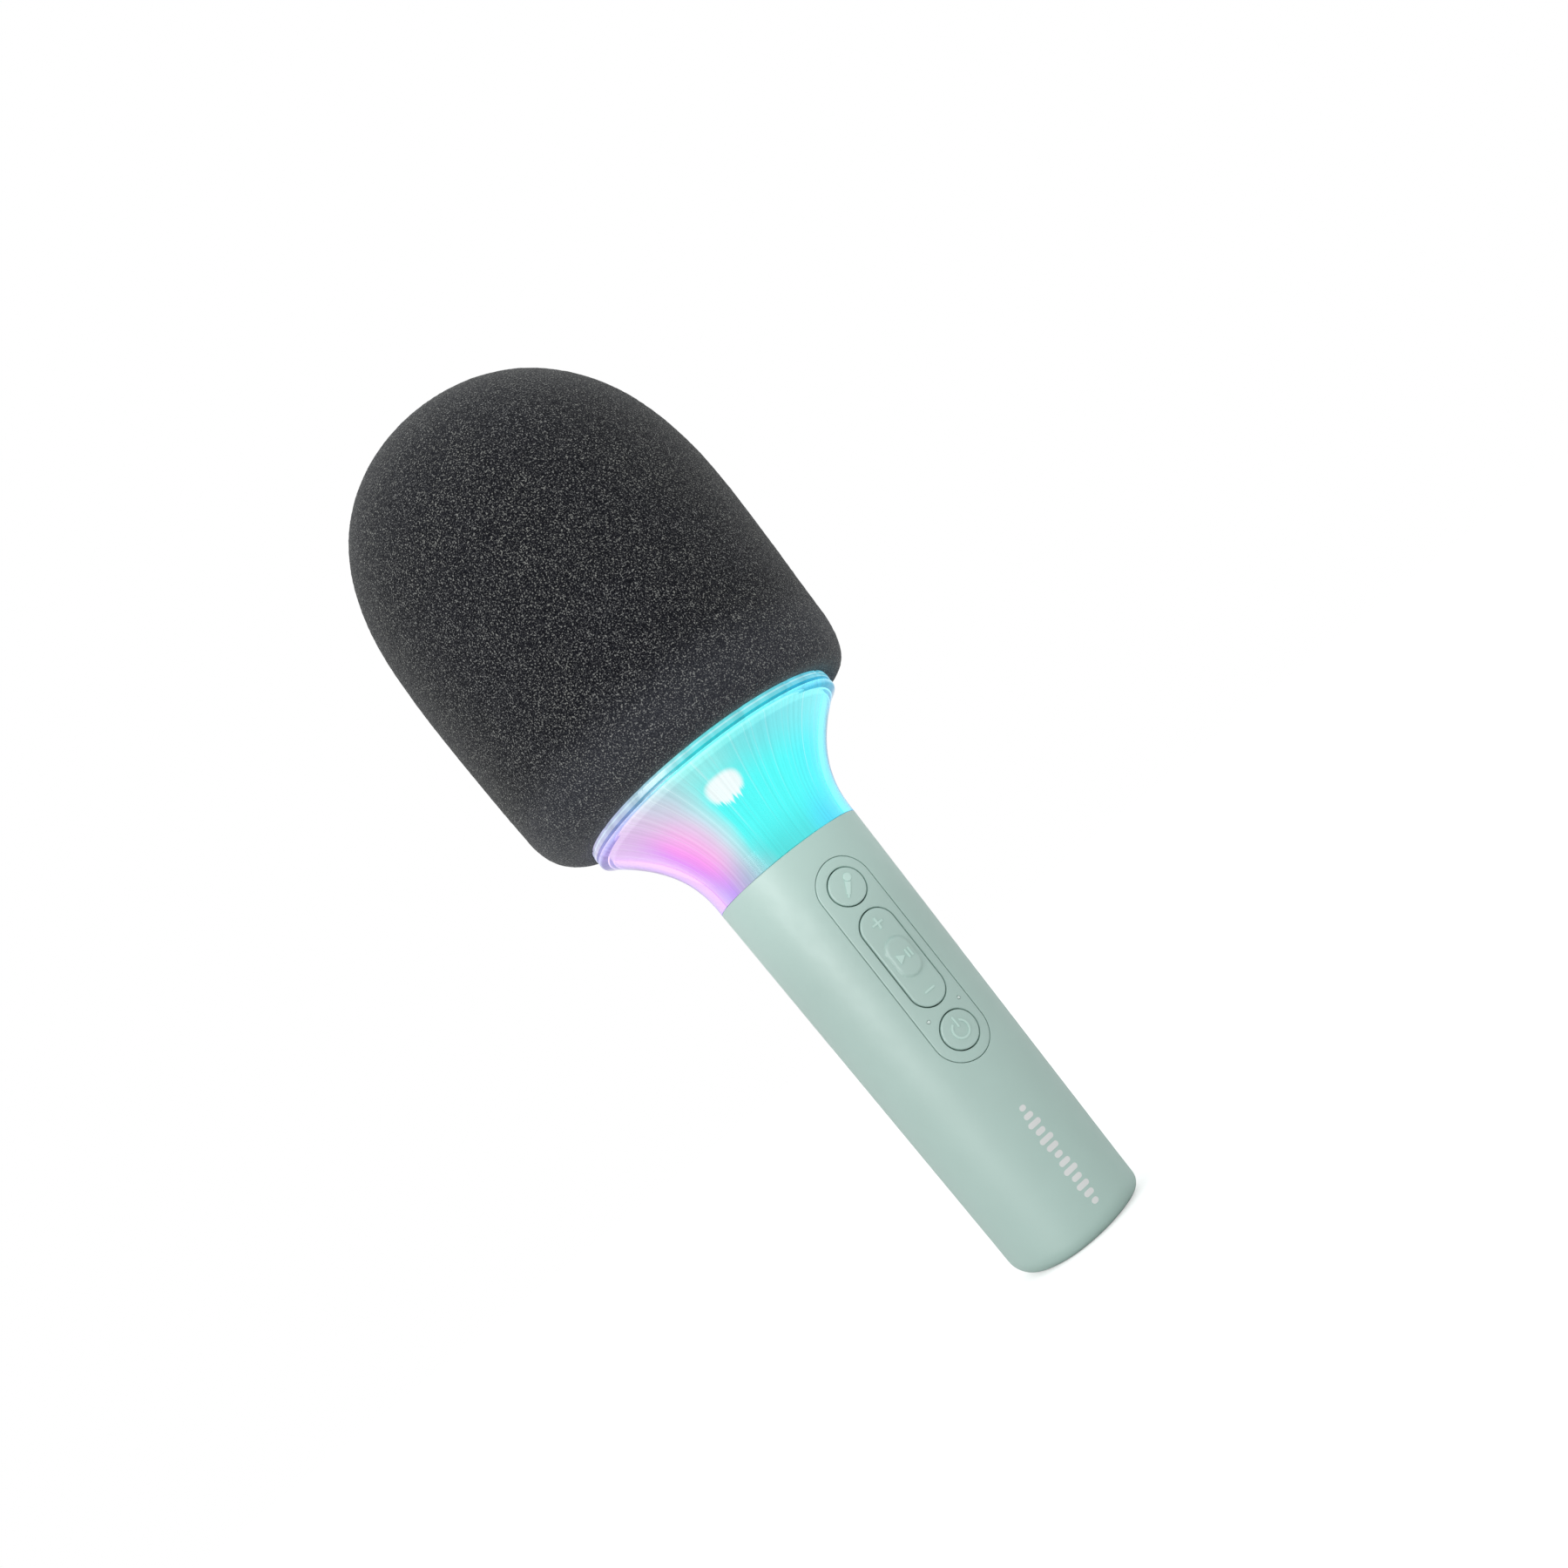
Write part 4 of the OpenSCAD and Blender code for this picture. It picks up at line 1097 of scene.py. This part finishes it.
def leaned(points, out, skin):
    """The foam's points as it really sits: leaning off the axis, its edge fuller and lower at one side."""
    right = np.array(VIEW_RIGHT)
    around = np.clip(out[:, :2] @ right, 0, 1)  # 1 at the side where the lower edge is fuller
    up = points[:, 2] - FOAM_LOW[2]
    past_seat = np.hypot(points[:, 0], points[:, 1]) - FOAM_SEAT_R
    lean = np.interp(points[:, 2], list(FOAM_LEAN), list(FOAM_LEAN.values())) * skin
    fuller, lower = 0.5, 2.5
    bulge = fuller * np.clip(1 - np.abs(up - 2) / 5, 0, 1) * around * skin
    sag = lower * np.clip(1 - up / 9, 0, 1) * around * np.clip(past_seat / 1.5, 0, 1) * skin
    points[:, 2] = np.maximum(points[:, 2], FOAM_LOW[2]) - sag
    points += out * bulge[:, None] * (1, 1, 0)
    points[:, :2] -= lean[:, None] * right
    return points


def make_foam():
    """Open-cell foam: an even net of small triangles pushed in and out by its pores."""
    rng = random.Random(7)
    step = 0.62
    outer = spaced(foam_outline(), step)
    bore_r, bore_top = CAGE_R + FOAM_GAP, CAGE_TOP + FOAM_GAP
    bore = [(bore_r, FOAM_LOW[2]), (bore_r, CAGE_SIDE_TOP)]
    bore += [(bore_r * cos(a), CAGE_SIDE_TOP + (bore_top - CAGE_SIDE_TOP) * sin(a))
             for a in quarter_turn(20)[:-1]]
    rows = [(r, z, step) for r, z in outer] + [(r, z, 1.6) for r, z in spaced(bore, 2.0)]
    net, normals, loops = foam_net(rows, rng)
    points = np.array([(0, 0, outer[0][1])] + net + [(0, 0, bore_top)])
    out = np.array([(0, 0, 1)] + normals + [(0, 0, -1)])
    crown = len(points) - 1
    top, last = loops[0], loops[-1]
    faces = [(0, top[i], top[(i + 1) % len(top)]) for i in range(len(top))]
    for a, b in zip(loops, loops[1:]):
        faces += zipper(a, b)
    faces += [(crown, last[(i + 1) % len(last)], last[i]) for i in range(len(last))]

    pores = np.clip([rng.gauss(0, 1) for _ in points], -2.2, 2.2)
    fade = np.clip(points[:, 2] - FOAM_LOW[2], 0.0, 1.0)
    pore_depth = 0.03
    points += out * (pores * pore_depth * fade)[:, None]
    skin = np.arange(len(points)) <= sum(len(loop) for loop in loops[:len(outer)])
    foam = piece("foam_cover", leaned(points, out, skin).tolist(), faces, "windscreen", "foam",
                 "foam_windscreen", 180)


# ---------------- stage

def make_stage():
    """A plain pale floor, a white surround, and two soft boxes at the left, one of which only shines."""
    floor_z = CAD_BOX[0][2]
    mesh = bpy.data.meshes.new("floor")
    mesh.from_pydata([(x, y, floor_z) for x, y in ((-6, -6), (6, -6), (6, 6), (-6, 6))], [], [(0, 1, 2, 3)])
    floor = added("floor", mesh)
    tree, shader = blank("pale_floor")
    plug(tree, shader, Base_Color=(0.8, 0.8, 0.8, 1), Roughness=0.9, Specular_IOR_Level=0.0,
         Emission_Color=(1, 1, 1, 1), Emission_Strength=seen(tree, 0.5, 0.0))
    mesh.materials.append(MATERIALS["pale_floor"])

    world = bpy.data.worlds.new("studio")
    bpy.context.scene.world = world
    world.use_nodes = True
    tree = world.node_tree
    plug(tree, tree.nodes["Background"], Color=(1, 1, 1, 1), Strength=seen(tree, 1.0, 0.80))

    area_light("key_light", VIEW_AZIMUTH - 34, height=0.22, size=(0.30, 0.8), power=1.6)
    gloss = area_light("gloss_light", VIEW_AZIMUTH - 42, height=0.12, size=(0.36, 0.9), power=7.0)
    gloss.visible_diffuse = False


def keep_light_off(light_name, *pieces):
    """Stops one light from falling on some pieces."""
    linked = bpy.data.collections.new(light_name + "_linking")
    for name in pieces:
        linked.objects.link(bpy.data.objects[name])
    bpy.data.objects[light_name].light_linking.receiver_collection = linked
    for entry in linked.collection_objects:
        entry.light_linking.link_state = "EXCLUDE"


def seen(tree, to_camera, to_others):
    """A strength that differs between what the camera sees directly and what lights the object."""
    rays = node(tree, "LightPath").node.outputs
    direct = calc(tree, "MAXIMUM", rays["Is Camera Ray"], rays["Is Transmission Ray"])
    return calc(tree, "ADD", times(tree, direct, to_camera - to_others), to_others)


def area_light(name, azimuth, height, size, power, distance=0.75):
    """A soft box aimed at the microphone's middle. Azimuth is in degrees from -Y towards +X."""
    data = bpy.data.lights.new(name, "AREA")
    data.shape = "RECTANGLE"
    data.size, data.size_y = size
    data.energy = power
    light = added(name, data)
    a = radians(azimuth)
    light.location = (distance * sin(a), -distance * cos(a), height)
    aim = Vector((0, 0, 0.12)) - light.location
    light.rotation_euler = aim.to_track_quat("-Z", "Y").to_euler()
    return light


def make_camera():
    """The front camera: close, a little below the middle, and rolled."""
    distance, height = 0.3377, 0.0679
    pitch, yaw, roll = 8.46, 1.80, 38.92
    data = bpy.data.cameras.new("camera")
    data.sensor_width = 36.0
    data.lens = 34.1
    data.clip_start = 0.01
    camera = added("camera", data)
    a = radians(VIEW_AZIMUTH)
    camera.matrix_world = (
        Matrix.Translation((distance * sin(a), -distance * cos(a), height))
        @ Matrix.Rotation(a - radians(yaw), 4, "Z")
        @ Matrix.Rotation(radians(90 + pitch), 4, "X")
        @ Matrix.Rotation(radians(-roll), 4, "Z"))
    bpy.context.scene.camera = camera


bpy.context.scene.view_settings.view_transform = "Standard"
make_camera()
make_stage()
finish_cad_nodes()
make_handle()
make_panel()
make_round_key("voice_cap", VOICE_Z, "voice_button", "voice_key")
make_round_key("power_cap", POWER_Z, "power_button", "power_key")
make_rocker()
make_key_marks()
make_level_bars()
make_ring()
make_foam()
keep_light_off("gloss_light", "flare_lens", "foam_cover")
